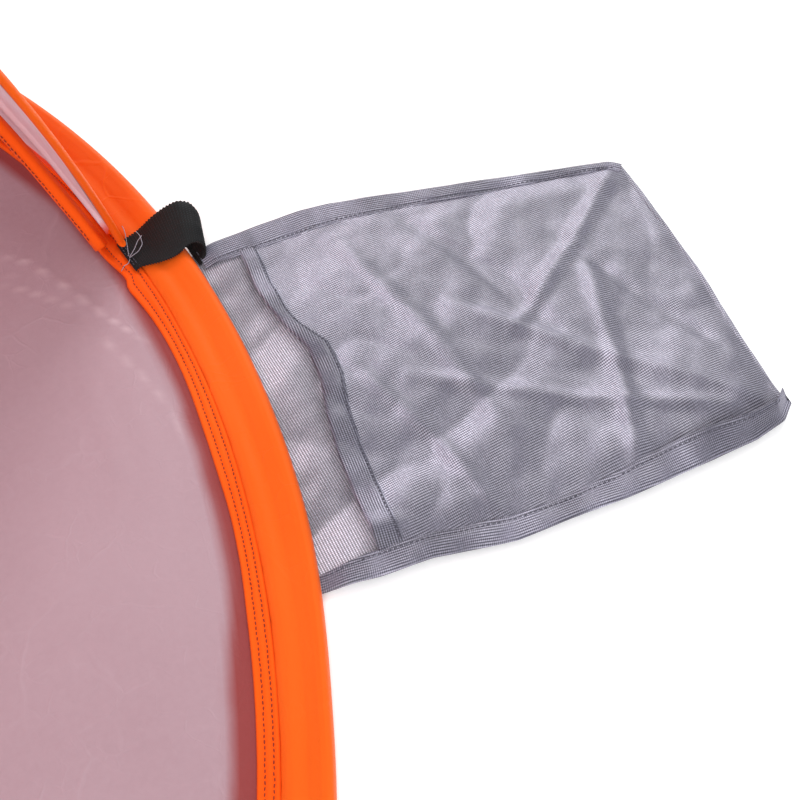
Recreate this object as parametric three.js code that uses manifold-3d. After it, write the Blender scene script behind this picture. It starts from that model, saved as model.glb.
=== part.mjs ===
// Pop-up ground shelter: a spring-steel ground hoop in a fabric sleeve, a floor panel,
// two folding arches that carry the canopy, mesh sand pockets and webbing peg loops.
// Units are millimetres, +Z is up, +X is right, +Y points to the closed back and the
// opening faces -Y. The origin is on the ground, midway between the feet of the arches.
import * as THREE from 'three';
import Module from 'manifold-3d';
import { mergeVertices } from 'three/addons/utils/BufferGeometryUtils.js';

const wasm = await Module();
wasm.setup();

const radians = THREE.MathUtils.degToRad;
const FULL_TURN = 2 * Math.PI;

// ---- shared dimensions ----------------------------------------------------------------
const RING_HALF_WIDTH = 980; // ground hoop's outer edge, along X
const RING_HALF_DEPTH = 775; // ground hoop's outer edge, along Y
const RING_STEPS = 64; // straight steps around the ground hoop
const SLEEVE_W = 29; // flat width of the ground hoop's sleeve, seam to outer edge
const STRAP_T = 1.3; // webbing thickness

// ---- finishes -------------------------------------------------------------------------
const ORANGE = { color: 0xf2631c, roughness: 0.62, metalness: 0 };
const ORANGE_DEEP = { color: 0xe4501a, roughness: 0.62, metalness: 0 };
const SEAM_RED = { color: 0xdf4312, roughness: 0.66, metalness: 0 };
const SILVER_PINK = { color: 0xb8949b, roughness: 0.42, metalness: 0.15 };
const MESH_GREY = { color: 0x9694a2, roughness: 0.8, metalness: 0 };
const HEM_GREY = { color: 0x8f8c9b, roughness: 0.8, metalness: 0 };
const BLACK = { color: 0x1c1c20, roughness: 0.75, metalness: 0 };
const STEEL = { color: 0x8d9196, roughness: 0.35, metalness: 0.9 };

// ---- geometry helpers -----------------------------------------------------------------
const shelter = new THREE.Group();
const vector = (x, y, z) => new THREE.Vector3(x, y, z);

// bare positions, welded, with the faces turned outwards
function welded(source) {
  const stripped = source.clone();
  for (const key of Object.keys(stripped.attributes)) {
    if (key !== 'position') stripped.deleteAttribute(key);
  }
  const geometry = mergeVertices(stripped, 1e-4);
  const { position } = geometry.attributes;
  const index = Array.from(geometry.index.array);
  const corners = [vector(), vector(), vector()];
  let volume = 0;
  for (let i = 0; i < index.length; i += 3) {
    corners.forEach((corner, j) => corner.fromBufferAttribute(position, index[i + j]));
    volume += corners[0].dot(corners[1].cross(corners[2]));
  }
  if (volume < 0) {
    for (let i = 0; i < index.length; i += 3) {
      [index[i], index[i + 1]] = [index[i + 1], index[i]];
    }
  }
  geometry.setIndex(index);
  return geometry;
}

function add(name, source, finish) {
  const geometry = welded(source);
  geometry.computeVertexNormals();
  const mesh = new THREE.Mesh(geometry, new THREE.MeshStandardMaterial(finish));
  mesh.name = name;
  shelter.add(mesh);
}

// moves every vertex to where `move` sends it
function warp(geometry, move) {
  const { position } = geometry.attributes;
  const vertex = vector();
  for (let i = 0; i < position.count; i++) {
    vertex.fromBufferAttribute(position, i);
    const { x, y, z } = move(vertex);
    position.setXYZ(i, x, y, z);
  }
  return geometry;
}

function toManifold(source) {
  const geometry = welded(source);
  return new wasm.Manifold(new wasm.Mesh({
    numProp: 3,
    vertProperties: new Float32Array(geometry.attributes.position.array),
    triVerts: new Uint32Array(geometry.index.array),
  }));
}

function fromManifold(manifold) {
  const mesh = manifold.getMesh();
  const geometry = new THREE.BufferGeometry();
  const positions = new Float32Array(mesh.vertProperties);
  geometry.setAttribute('position', new THREE.BufferAttribute(positions, 3));
  geometry.setIndex(Array.from(mesh.triVerts));
  return geometry;
}

function shapeOf(outline, hole) {
  const toVectors = (points) => points.map(([x, y]) => new THREE.Vector2(x, y));
  const shape = new THREE.Shape(toVectors(outline));
  if (hole) shape.holes.push(new THREE.Path(toVectors(hole)));
  return shape;
}

const extrude = (shape, depth = 1, steps = 1) =>
  new THREE.ExtrudeGeometry(shape, { depth, steps, bevelEnabled: false });

const onCircle = (radius, angle) => [radius * Math.cos(angle), radius * Math.sin(angle)];
const polygon = (radius, sides) =>
  Array.from({ length: sides }, (_, i) => onCircle(radius, (i / sides) * FULL_TURN));
const moved = (points, x, y) => points.map(([px, py]) => [px + x, py + y]);

// ---- the ground hoop's ellipse --------------------------------------------------------
// `angle` is the ellipse parameter: 0 at +X (right), a quarter turn at +Y (back)
function ringNormal(angle) {
  return vector(
    Math.cos(angle) / RING_HALF_WIDTH,
    Math.sin(angle) / RING_HALF_DEPTH,
    0,
  ).normalize();
}

// `outward` is measured outwards from the sleeve's seam line
function ringPoint(angle, outward, z) {
  const offset = ringNormal(angle).multiplyScalar(outward - SLEEVE_W);
  return vector(
    RING_HALF_WIDTH * Math.cos(angle) + offset.x,
    RING_HALF_DEPTH * Math.sin(angle) + offset.y,
    z,
  );
}

// angle of the point on the hoop's right half, a distance forward of the arch feet
const angleForward = (distance) => Math.asin(-distance / RING_HALF_DEPTH);

// a closed profile [outward, z] carried once around the hoop
function ringSweep(profile) {
  const latheRadius = 500; // keeps the profile clear of the lathe's axis
  const points = [...profile, profile[0]]
    .map(([outward, z]) => new THREE.Vector2(latheRadius + outward, z));
  return warp(new THREE.LatheGeometry(points, RING_STEPS), ({ x, y, z }) => {
    // snapped to whole steps, so that the lathe's two ends weld
    const step = Math.round((Math.atan2(z, x) / FULL_TURN) * RING_STEPS) / RING_STEPS;
    return ringPoint(step * FULL_TURN, Math.hypot(x, z) - latheRadius, y);
  });
}

// a shape [outward, z] carried along an open run of the hoop
function ringRun(shape, from, to, steps) {
  return warp(extrude(shape, 1, steps), ({ x, y, z }) => ringPoint(from + (to - from) * z, x, y));
}

// ---- ground hoop and floor ------------------------------------------------------------
const BASE_WIRE_R = 2.2;
const FERRULE_R = 3.15;
const FERRULE_BORE_R = 2.7;
const WIRE_CENTRE = [23.8, 4.4]; // [outward, z]
const BACK = Math.PI / 2; // angle where the wire's ends meet
const WIRE_END_GAP = 0.0006; // angle from the back to each wire end
const FERRULE_HALF_ANGLE = 0.007;

const FLOOR_T = 1.0; // floor fabric with its coating
const FLOOR_EDGE = -0.4; // outward position of the floor's rim
const BAND_W = 11; // seam band, from the seam line to its inner edge
const BAND_OUTER_EDGE = -0.6;
const BAND_BOTTOM = FLOOR_T + 0.3;
const BAND_TOP = FLOOR_T + 1.5;

// folded strip, [outward, z]: outer skin, then inner skin; both cut edges face inwards
const SLEEVE_PROFILE = [
  [0, 0], [25, 0], [27.8, 1.0], [29, 3.6], [28.6, 6.4],
  [26.2, 8.6], [23, 9.0], [18, 7.5], [11, 4.8], [0, 3.3],
  [0, 2.2], [11, 3.7], [18, 6.3], [22.6, 7.9], [25.6, 7.6],
  [27.5, 5.9], [27.8, 3.8], [26.8, 1.9], [24.4, 1.0], [0, 1.0],
];

// spring wire, open at the back where its two ends meet inside the ferrule
function addBaseWire() {
  const section = shapeOf(moved(polygon(BASE_WIRE_R, 6), ...WIRE_CENTRE));
  const from = BACK + WIRE_END_GAP;
  const to = BACK + FULL_TURN - WIRE_END_GAP;
  add('base_wire', ringRun(section, from, to, RING_STEPS), STEEL);
}

function addBaseFerrule() {
  const circle = (radius) => moved(polygon(radius, 8), ...WIRE_CENTRE);
  const section = shapeOf(circle(FERRULE_R), circle(FERRULE_BORE_R));
  const run = ringRun(section, BACK - FERRULE_HALF_ANGLE, BACK + FERRULE_HALF_ANGLE, 2);
  add('base_ferrule', run, STEEL);
}

function addSeamBand() {
  add('seam_band', ringSweep([
    [-BAND_W, BAND_BOTTOM], [BAND_OUTER_EDGE, BAND_BOTTOM],
    [BAND_OUTER_EDGE, BAND_TOP], [-BAND_W, BAND_TOP],
  ]), SEAM_RED);
}

function addFloor() {
  const outline = Array.from({ length: RING_STEPS }, (_, i) => {
    const { x, y } = ringPoint((i / RING_STEPS) * FULL_TURN, FLOOR_EDGE, 0);
    return [x, y];
  });
  add('floor_panel', extrude(shapeOf(outline), FLOOR_T), SILVER_PINK);
}

// ---- arches ---------------------------------------------------------------------------
const AXIS_Z = 10; // height of the line through the feet, which both arches fold about
// halfWidth at the feet, length from the fold line to the top, tilt above the ground
// measured from the back
const FRONT_ARCH = { halfWidth: 948, length: 1080, tilt: radians(96) };
const REAR_ARCH = { halfWidth: 937, length: 930, tilt: radians(48) };
const ARCH_LEAN = 0.15; // how far the arches pull in towards the middle as they rise
const ARCH_STEPS = 32;
const ARCH_START = 6; // distance from the fold line to the arch ends
const ARCH_WIRE_R = 1.75;
const FRONT_TUBE_R = 4.2; // rolled hem around the front wire
const REAR_TUBE_R = 5.2; // sleeve around the rear wire
const TUBE_BORE_R = 2.53; // to the bore's corners
const SLIT_HALF_ANGLE = 0.16;
const FOOT_TAB = { size: [23.5, 16, 1.7], inset: 12, y: 16, z: 3.95 };

// `angle` runs from 0 at the right foot to half a turn at the left foot
function archPoint({ halfWidth, length, tilt }, angle) {
  const x = halfWidth * Math.cos(angle) * (1 - ARCH_LEAN * Math.sin(angle));
  const rise = length * Math.sin(angle);
  return vector(x, rise * Math.cos(tilt), AXIS_Z + rise * Math.sin(tilt));
}

// `out` points away from the fold line in the arch's plane; `ahead` is square to that plane
function archFrame(arch, angle) {
  const delta = 1e-4;
  const along = archPoint(arch, angle + delta).sub(archPoint(arch, angle - delta)).normalize();
  const ahead = vector(0, -Math.sin(arch.tilt), Math.cos(arch.tilt));
  const out = along.cross(ahead).normalize();
  return { origin: archPoint(arch, angle), ahead, out };
}

// a shape [out, ahead] carried along a run of an arch
function archRun(shape, arch, from, to, steps) {
  return warp(extrude(shape, 1, steps), ({ x, y, z }) => {
    const { origin, ahead, out } = archFrame(arch, from + (to - from) * z);
    return origin.addScaledVector(out, x).addScaledVector(ahead, y);
  });
}

// section of a fabric tube with a narrow slit along it
function slitTube(radius, slitAngle) {
  const arc = (arcRadius, sides) => Array.from({ length: sides + 1 }, (_, i) => {
    const sweep = ((FULL_TURN - 2 * SLIT_HALF_ANGLE) * i) / sides;
    return onCircle(arcRadius, slitAngle + SLIT_HALF_ANGLE + sweep);
  });
  return shapeOf([...arc(radius, 9), ...arc(TUBE_BORE_R, 6).reverse()]);
}

function addArch(name, arch, tubeRadius, slitAngle, finish) {
  const start = Math.asin(ARCH_START / arch.length);
  const run = (section) => archRun(section, arch, start, Math.PI - start, ARCH_STEPS);
  add(`${name}_sleeve`, run(slitTube(tubeRadius, slitAngle)), finish);
  add(`${name}_wire`, run(shapeOf(polygon(ARCH_WIRE_R, 6))), STEEL);
}

// webbing tabs that tie the arch feet to the ground hoop's seam
function addFootTabs() {
  for (const [side, sign] of [['right', 1], ['left', -1]]) {
    const tab = new THREE.BoxGeometry(...FOOT_TAB.size);
    tab.translate(sign * (FRONT_ARCH.halfWidth - FOOT_TAB.inset), FOOT_TAB.y, FOOT_TAB.z);
    add(`foot_tab_${side}`, tab, ORANGE_DEEP);
  }
}

// ---- canopy ---------------------------------------------------------------------------
const PANEL_T = 1.6; // canopy fabric, as a plain closed sheet
const PANEL_GAP = 8; // clear distance from a panel's edge to an arch's centre line
const PANEL_STEPS = [30, 5]; // across, down
const WINDOW_STEPS = [10, 2];
const CORNER_ANGLE = radians(5); // arch angle where the panels' side edges lie
const SAG = 0.035; // depth of the draw-in, as a share of the span
const SAG_CENTRE = { y: 0.35, z: 0.25 }; // the fabric draws towards x = 0 and these shares
const BACK_HEM = { outward: -7.2, z: 4.2 }; // back panel's lower edge, inside the seam line
// window opening as shares of the back panel, and the mesh's clearance in it
const WINDOW = { across: [0.37, 0.63], down: [0.3, 0.68] };
const WINDOW_CLEARANCE = { across: 0.0022, down: 0.006 };
const WINDOW_MESH_T = 1.0;
const WINDOW_CUTTER_T = 60;

// closed sheet of constant thickness over surface(across, down)
function sheet(surface, steps, thickness, { across, down } = { across: [0, 1], down: [0, 1] }) {
  const delta = 1e-3;
  return warp(new THREE.BoxGeometry(1, 1, 1, ...steps, 1), (vertex) => {
    const u = across[0] + (across[1] - across[0]) * (vertex.x + 0.5);
    const v = down[0] + (down[1] - down[0]) * (vertex.y + 0.5);
    const tangentU = surface(u + delta, v).sub(surface(u - delta, v));
    const tangentV = surface(u, v + delta).sub(surface(u, v - delta));
    const normal = tangentU.cross(tangentV).normalize();
    return surface(u, v).addScaledVector(normal, vertex.z * thickness);
  });
}

// fabric ruled from one edge point to another, drawn in between them
function stretch(start, end, share, angle) {
  const rule = end.clone().sub(start);
  const span = rule.length();
  const point = start.clone().addScaledVector(rule, share);
  const inward = vector(0, point.y * SAG_CENTRE.y, point.z * SAG_CENTRE.z).sub(point).normalize();
  const depth = SAG * span * 4 * share * (1 - share) * Math.sin(angle);
  return point.addScaledVector(inward, depth);
}

const hemPoint = (angle) => ringPoint(angle, BACK_HEM.outward, BACK_HEM.z);
const roofAt = (angle, share) =>
  stretch(archPoint(FRONT_ARCH, angle), archPoint(REAR_ARCH, angle), share, angle);
const backAt = (angle, share) =>
  stretch(archPoint(REAR_ARCH, angle), hemPoint(angle), share, angle);

// surface(across, down) over a ruled panel, stopping short of its two edges by the gaps
const trimmed = (panelAt, startGap, endGap) => (across, down) => {
  const angle = CORNER_ANGLE + (Math.PI - 2 * CORNER_ANGLE) * across;
  const span = panelAt(angle, 0).distanceTo(panelAt(angle, 1));
  const low = startGap / span;
  const high = 1 - endGap / span;
  return panelAt(angle, low + (high - low) * down);
};
const roofSurface = trimmed(roofAt, PANEL_GAP, PANEL_GAP);
const backSurface = trimmed(backAt, PANEL_GAP, 0);

function addBackPanel() {
  const whole = toManifold(sheet(backSurface, PANEL_STEPS, PANEL_T));
  const cutter = toManifold(sheet(backSurface, WINDOW_STEPS, WINDOW_CUTTER_T, WINDOW));
  add('back_panel', fromManifold(whole.subtract(cutter)), ORANGE);
}

function addWindowMesh() {
  const shrunk = ([low, high], clearance) => [low + clearance, high - clearance];
  const range = {
    across: shrunk(WINDOW.across, WINDOW_CLEARANCE.across),
    down: shrunk(WINDOW.down, WINDOW_CLEARANCE.down),
  };
  add('rear_window_mesh', sheet(backSurface, WINDOW_STEPS, WINDOW_MESH_T, range), MESH_GREY);
}

// ---- guy loops ------------------------------------------------------------------------
const GUY_LOOP_BASE = FRONT_TUBE_R + 0.5; // from the front arch's wire centre
const GUY_LOOP_HALF_ANGLE = 0.0075;
const GUY_LOOP_ANGLES = { right: radians(50), left: radians(130) };
// [out, ahead] from the loop's base
const GUY_LOOP_OUTER = [
  [0, -5], [15, -5.5], [21, -3.5], [22.5, 0], [21, 3.5], [15, 5.5], [0, 5],
];
const GUY_LOOP_HOLE = [
  [STRAP_T, -3.6], [15, -4.1], [19.8, -2.6], [21, 0], [19.8, 2.6], [15, 4.1], [STRAP_T, 3.6],
];

// small webbing loops for guy lines, on the outside of the front arch
function addGuyLoops() {
  const section = shapeOf(
    moved(GUY_LOOP_OUTER, GUY_LOOP_BASE, 0),
    moved(GUY_LOOP_HOLE, GUY_LOOP_BASE, 0),
  );
  for (const [side, angle] of Object.entries(GUY_LOOP_ANGLES)) {
    const from = angle - GUY_LOOP_HALF_ANGLE;
    const to = angle + GUY_LOOP_HALF_ANGLE;
    add(`guy_loop_${side}`, archRun(section, FRONT_ARCH, from, to, 1), BLACK);
  }
}

// ---- stations on the ground hoop's outer edge -----------------------------------------
// `along` is tangent to the hoop, counter-clockwise from above for direction 1
function station(angle, direction) {
  const normal = ringNormal(angle);
  const along = vector(-normal.y, normal.x, 0).multiplyScalar(direction);
  return { origin: ringPoint(angle, SLEEVE_W, 0), normal, along, angle, direction };
}

function stationPoint({ origin, along, normal }, x, y, z) {
  return origin.clone().addScaledVector(along, x).addScaledVector(normal, y).setZ(z);
}

// y, in the station's frame, of the hoop's outer edge moved out by gap, at the given x
function edgeAt({ origin, along, normal, angle, direction }, x, gap) {
  const typicalRadius = 800; // turns a distance along the hoop into an angle
  const offsetAt = (edgeAngle) => ringPoint(edgeAngle, SLEEVE_W + gap, 0).sub(origin);
  let edgeAngle = angle;
  for (let i = 0; i < 12; i++) {
    edgeAngle += (direction * (x - offsetAt(edgeAngle).dot(along))) / typicalRadius;
  }
  return offsetAt(edgeAngle).dot(normal);
}

// ---- sand pockets ---------------------------------------------------------------------
// three free sides, [x along the hoop away from the arch feet, y outwards from its edge]
const POCKET_SIDES = [
  // side nearer the arch feet
  [-123, 12], [-125, 54], [-117, 122], [-106, 188],
  [-98, 224], [-93, 256], [-90, 264], [-82, 268],
  // outer side
  [-28, 270], [8, 271], [53, 272], [105, 273],
  // side farther from the arch feet
  [115, 271], [119, 262], [119, 246], [123, 217], [126, 195], [130, 169],
  [134, 142], [134, 128], [130, 107], [128, 72], [124, 43], [122, 22],
];
const INNER_EDGE = { from: -117, to: 118, gap: 1.5, steps: 8 };
const HEM_W = 9; // border hem
const FRONT_LAYER_INSET = HEM_W + 3;
// `y` is the mouth's distance from the ground hoop; a bulge centred at bulgeX adds to it
const MOUTH = { y: 25, bulge: 6, bulgeX: 5, bulgeWidth: 70, overlap: 0.4, steps: 6, hemW: 15 };
const MOUTH_CORNER_Y = MOUTH.y + 12; // the front layer's sides stay outside this
const LAYERS = {
  back: { bottom: 0.3, thickness: 1.1 },
  border: { bottom: 1.8, thickness: 2.2 },
  front: { bottom: 1.8, thickness: 1.0 },
  mouth: { bottom: 3.2, thickness: 1.4 },
};
const FRONT_POCKET_ANGLE = angleForward(149);
const POCKETS = {
  front_right: station(FRONT_POCKET_ANGLE, -1),
  front_left: station(Math.PI - FRONT_POCKET_ANGLE, 1),
  rear_right: station(radians(52), 1),
  rear_left: station(radians(128), -1),
};

// the pocket's sides moved inwards by a distance
function insetSides(distance) {
  return POCKET_SIDES.map(([x, y], i, sides) => {
    const before = sides[Math.max(0, i - 1)];
    const after = sides[Math.min(sides.length - 1, i + 1)];
    const dx = after[0] - before[0];
    const dy = after[1] - before[1];
    const length = Math.hypot(dx, dy);
    return [x + (dy / length) * distance, y - (dx / length) * distance];
  });
}

function borderHemOutline() {
  const inner = insetSides(HEM_W);
  // the hem's two ends are cut level with the ends of the sides
  for (const end of [0, inner.length - 1]) inner[end][1] = POCKET_SIDES[end][1];
  return [...POCKET_SIDES, ...inner.reverse()];
}

function mouthY(x) {
  return MOUTH.y + MOUTH.bulge * Math.exp(-(((x - MOUTH.bulgeX) / MOUTH.bulgeWidth) ** 2));
}

function addPocket(name, place) {
  const addLayer = (part, outline, { bottom, thickness }, finish) => {
    const layer = warp(extrude(shapeOf(outline), thickness),
      ({ x, y, z }) => stationPoint(place, x, y, bottom + z));
    add(`pocket_${name}_${part}`, layer, finish);
  };

  const { from, to, gap, steps } = INNER_EDGE;
  const innerEdge = Array.from({ length: steps + 1 }, (_, i) => {
    const x = from + ((to - from) * (steps - i)) / steps;
    return [x, edgeAt(place, x, gap)];
  });
  addLayer('back_layer', [...POCKET_SIDES, ...innerEdge], LAYERS.back, MESH_GREY);
  addLayer('border_hem', borderHemOutline(), LAYERS.border, HEM_GREY);

  const frontSides = insetSides(FRONT_LAYER_INSET).filter(([, y]) => y > MOUTH_CORNER_Y);
  const nearX = frontSides[0][0];
  const farX = frontSides.at(-1)[0];
  const mouth = Array.from({ length: MOUTH.steps + 1 }, (_, i) => {
    const x = farX - MOUTH.overlap + ((nearX - farX + 2 * MOUTH.overlap) * i) / MOUTH.steps;
    return [x, mouthY(x)];
  });
  addLayer('front_layer', [...frontSides, ...mouth], LAYERS.front, MESH_GREY);
  const hemEdge = moved(mouth, 0, MOUTH.hemW).reverse();
  addLayer('mouth_hem', [...hemEdge, ...mouth], LAYERS.mouth, HEM_GREY);
}

// ---- peg loops ------------------------------------------------------------------------
const STRAP_W = 25; // webbing width
// strap's upper face, [outward from the seam, z]: it lies over the sleeve
const STRAP_TOP = [[-4.4, 5.1], [0, 5.4], [10, 7.1], [17, 9.6], [22, 10.9], [27.6, 10.9]];
// free eye outside the hoop, [outward from the seam, z]
const EYE = [
  [30, 0.6], [36, 1.4], [42.5, 4.6], [45, 8.6], [43.5, 12.6], [37, 14.6], [30, 12.2],
];
const EYE_MIDDLE = [37, 7.6];
const EYE_WALL = STRAP_T * 1.15; // measured towards the middle from each corner
const SIDE_PEG_ANGLE = angleForward(6);
const PEG_ANGLES = {
  side_right: SIDE_PEG_ANGLE,
  side_left: Math.PI - SIDE_PEG_ANGLE,
  front_right: radians(-52),
  front_left: radians(-128),
  front_centre: radians(-90),
  rear_centre: radians(90),
};

function addPegLoop(name, angle) {
  const place = station(angle, 1);
  const acrossStrap = (shape) => warp(extrude(shape, STRAP_W),
    ({ x, y, z }) => stationPoint(place, z - STRAP_W / 2, x - SLEEVE_W, y));

  const underside = moved(STRAP_TOP, 0, -STRAP_T).reverse();
  add(`peg_strap_${name}`, acrossStrap(shapeOf([...STRAP_TOP, ...underside])), BLACK);

  const hole = EYE.map(([outward, z]) => {
    const toMiddle = [EYE_MIDDLE[0] - outward, EYE_MIDDLE[1] - z];
    const scale = EYE_WALL / Math.hypot(...toMiddle);
    return [outward + toMiddle[0] * scale, z + toMiddle[1] * scale];
  });
  add(`peg_eye_${name}`, acrossStrap(shapeOf(EYE, hole)), BLACK);
}

// ---- assembly -------------------------------------------------------------------------
addBaseWire();
addBaseFerrule();
add('base_sleeve', ringSweep(SLEEVE_PROFILE), ORANGE);
addSeamBand();
addFloor();
// the front tube's slit faces backwards, the rear tube's faces the fold line
addArch('front_arch', FRONT_ARCH, FRONT_TUBE_R, -Math.PI / 2, ORANGE);
addArch('rear_arch', REAR_ARCH, REAR_TUBE_R, Math.PI, ORANGE_DEEP);
addFootTabs();
add('roof_panel', sheet(roofSurface, PANEL_STEPS, PANEL_T), ORANGE);
addBackPanel();
addWindowMesh();
addGuyLoops();
for (const [name, place] of Object.entries(POCKETS)) addPocket(name, place);
for (const [name, angle] of Object.entries(PEG_ANGLES)) addPegLoop(name, angle);

export default shelter;
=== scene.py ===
"""Folding shelter: an oval ground hoop with a cloth floor, two arches that hinge at the hoop's
left and right ends, an orange canopy with a net window, peg loops and four net sand pockets.

Metres. The ground is z = 0, +x is right, the open front faces -y and the canopy's back +y.
"""
import bpy
import math
import numpy as np
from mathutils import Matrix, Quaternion, Vector


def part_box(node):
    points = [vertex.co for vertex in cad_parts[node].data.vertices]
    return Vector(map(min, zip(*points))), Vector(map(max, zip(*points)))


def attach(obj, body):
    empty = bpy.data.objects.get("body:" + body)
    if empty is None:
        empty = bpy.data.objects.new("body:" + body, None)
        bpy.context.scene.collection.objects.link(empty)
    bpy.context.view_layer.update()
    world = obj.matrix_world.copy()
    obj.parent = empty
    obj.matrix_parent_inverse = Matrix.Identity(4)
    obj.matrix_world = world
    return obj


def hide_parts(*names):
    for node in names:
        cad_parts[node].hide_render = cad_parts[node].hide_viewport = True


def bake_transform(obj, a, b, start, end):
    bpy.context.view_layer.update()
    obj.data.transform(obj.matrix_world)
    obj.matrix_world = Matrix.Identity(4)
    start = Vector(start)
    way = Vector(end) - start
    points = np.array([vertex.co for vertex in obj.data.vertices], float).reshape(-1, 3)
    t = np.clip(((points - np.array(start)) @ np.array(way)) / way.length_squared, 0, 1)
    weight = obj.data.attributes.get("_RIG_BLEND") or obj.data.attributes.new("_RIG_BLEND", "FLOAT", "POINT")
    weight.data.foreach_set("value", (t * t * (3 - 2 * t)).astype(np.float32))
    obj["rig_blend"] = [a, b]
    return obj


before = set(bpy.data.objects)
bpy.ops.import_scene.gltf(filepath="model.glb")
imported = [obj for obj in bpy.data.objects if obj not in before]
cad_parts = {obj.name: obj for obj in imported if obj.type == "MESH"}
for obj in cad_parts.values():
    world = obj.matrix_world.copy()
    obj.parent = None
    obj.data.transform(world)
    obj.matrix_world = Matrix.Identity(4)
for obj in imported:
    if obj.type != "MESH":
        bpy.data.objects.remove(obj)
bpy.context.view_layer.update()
scene = bpy.context.scene

# ------------------------------------------------------------------ driving sizes
sleeve_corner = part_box("base_sleeve")[1]
HALF_X, HALF_Y = sleeve_corner.x, sleeve_corner.y  # outer edge of the ground hoop
SLEEVE_W = 0.029                                   # hoop sleeve, from seam line to outer edge
AXIS_Z = 0.010                                     # height of the hinge line
FRONT = dict(half_width=0.948, height=1.080, angle=math.radians(96))
REAR = dict(half_width=0.937, height=0.930, angle=math.radians(48))
REAR_SHARE = 42.0 / 85.0                           # rear arch's share of the front arch's fold
LEAN = 0.15                                        # how much the arches draw in towards the top
SAG = 0.035                                        # canopy sag, as a share of its span
NET_THICK = 0.0004
UP = np.array([0.0, 0.0, 1.0])


# ------------------------------------------------------------------ noise and curves
def hash_cell(cell_x, cell_y, seed):
    """a repeatable value from 0 to 1 for each whole-number cell"""
    mixed = (cell_x.astype(np.int64) * 374761393 + cell_y.astype(np.int64) * 668265263
             + seed * 974634777) & 0xFFFFFFFF
    mixed = ((mixed ^ (mixed >> 13)) * 1274126177) & 0xFFFFFFFF
    return ((mixed ^ (mixed >> 16)) & 0xFFFF) / 65535.0


def ease(x):
    return x * x * x * (x * (x * 6 - 15) + 10)


def noise(x, y, seed):
    """smooth value noise from -0.5 to 0.5"""
    cell_x, cell_y = np.floor(x), np.floor(y)
    part_x, part_y = ease(x - cell_x), ease(y - cell_y)

    def row(cell):
        return (hash_cell(cell_x, cell, seed) * (1 - part_x)
                + hash_cell(cell_x + 1, cell, seed) * part_x)

    return row(cell_y) * (1 - part_y) + row(cell_y + 1) * part_y - 0.5


def fbm(x, y, seed, octaves):
    """noise with finer, fainter layers on top"""
    total, strength = 0, 1.0
    for k in range(octaves):
        total = total + strength * noise(x * 2**k + 17.3 * k, y * 2**k - 9.1 * k, seed + k)
        strength *= 0.5
    return total


def smooth(start, end, x):
    """0 before start, 1 after end, with an eased step between them"""
    part = np.clip((x - start) / (end - start), 0, 1)
    return part * part * (3 - 2 * part)


def bell(x, centre, width):
    return np.exp(-(((x - centre) / width) ** 2))


def mm(values):
    """a table in millimetres as metres"""
    return np.asarray(values, float) / 1000


def table_at(x, table):
    """look x up in a table of (x, value) rows"""
    return np.interp(x, table[:, 0], table[:, 1])


def unit(vectors):
    return vectors / np.maximum(np.linalg.norm(vectors, axis=-1, keepdims=True), 1e-12)


def lengths(points):
    """distance along a line at each of its points"""
    steps = np.linalg.norm(np.diff(points, axis=0), axis=1)
    return np.concatenate([[0], np.cumsum(steps)])


def columns_at(where, keys, table):
    """interpolate every column of a table"""
    return np.stack([np.interp(where, keys, column) for column in table.T], -1)


ODD_REFLECTION = dict(mode="reflect", reflect_type="odd")


def blur(points, reach, padding=ODD_REFLECTION):
    """round a curve off over an odd number of points"""
    kernel = np.exp(-(np.linspace(-2, 2, reach) ** 2))
    kernel /= kernel.sum()
    padded = np.pad(points, ((reach // 2, reach // 2), (0, 0)), **padding)
    return np.stack([np.convolve(column, kernel, mode="valid") for column in padded.T], -1)


def resample(points, count, reach, padding=ODD_REFLECTION):
    """rounded curve with its points evenly spaced by length"""
    run = lengths(points)
    even = columns_at(np.linspace(0, run[-1], count), run, points)
    return blur(even, reach, padding)


def soften(points, count, reach):
    """rounded curve with the same number of points between each pair of keys"""
    keys = np.linspace(0, 1, len(points))
    return blur(columns_at(np.linspace(0, 1, count), keys, points), reach)


def crease(x, y, points, width, depth):
    """ridge or furrow along a line, fainter towards its ends"""
    nearest = np.full(x.shape, 1e9)
    along = np.zeros(x.shape)
    points = np.asarray(points)
    for k in range(len(points) - 1):
        start, step = points[k], points[k + 1] - points[k]
        part = np.clip(((x - start[0]) * step[0] + (y - start[1]) * step[1]) / (step @ step), 0, 1)
        gap = np.hypot(x - start[0] - part * step[0], y - start[1] - part * step[1])
        along = np.where(gap < nearest, (k + part) / (len(points) - 1), along)
        nearest = np.minimum(nearest, gap)
    fade = smooth(0, 0.12, along) * (1 - smooth(0.8, 1.0, along))
    return depth * bell(nearest, 0, width) * (0.35 + 0.65 * fade)


# ------------------------------------------------------------------ mesh building
def add_object(name, data):
    obj = bpy.data.objects.new(name, data)
    scene.collection.objects.link(obj)
    return obj


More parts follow.
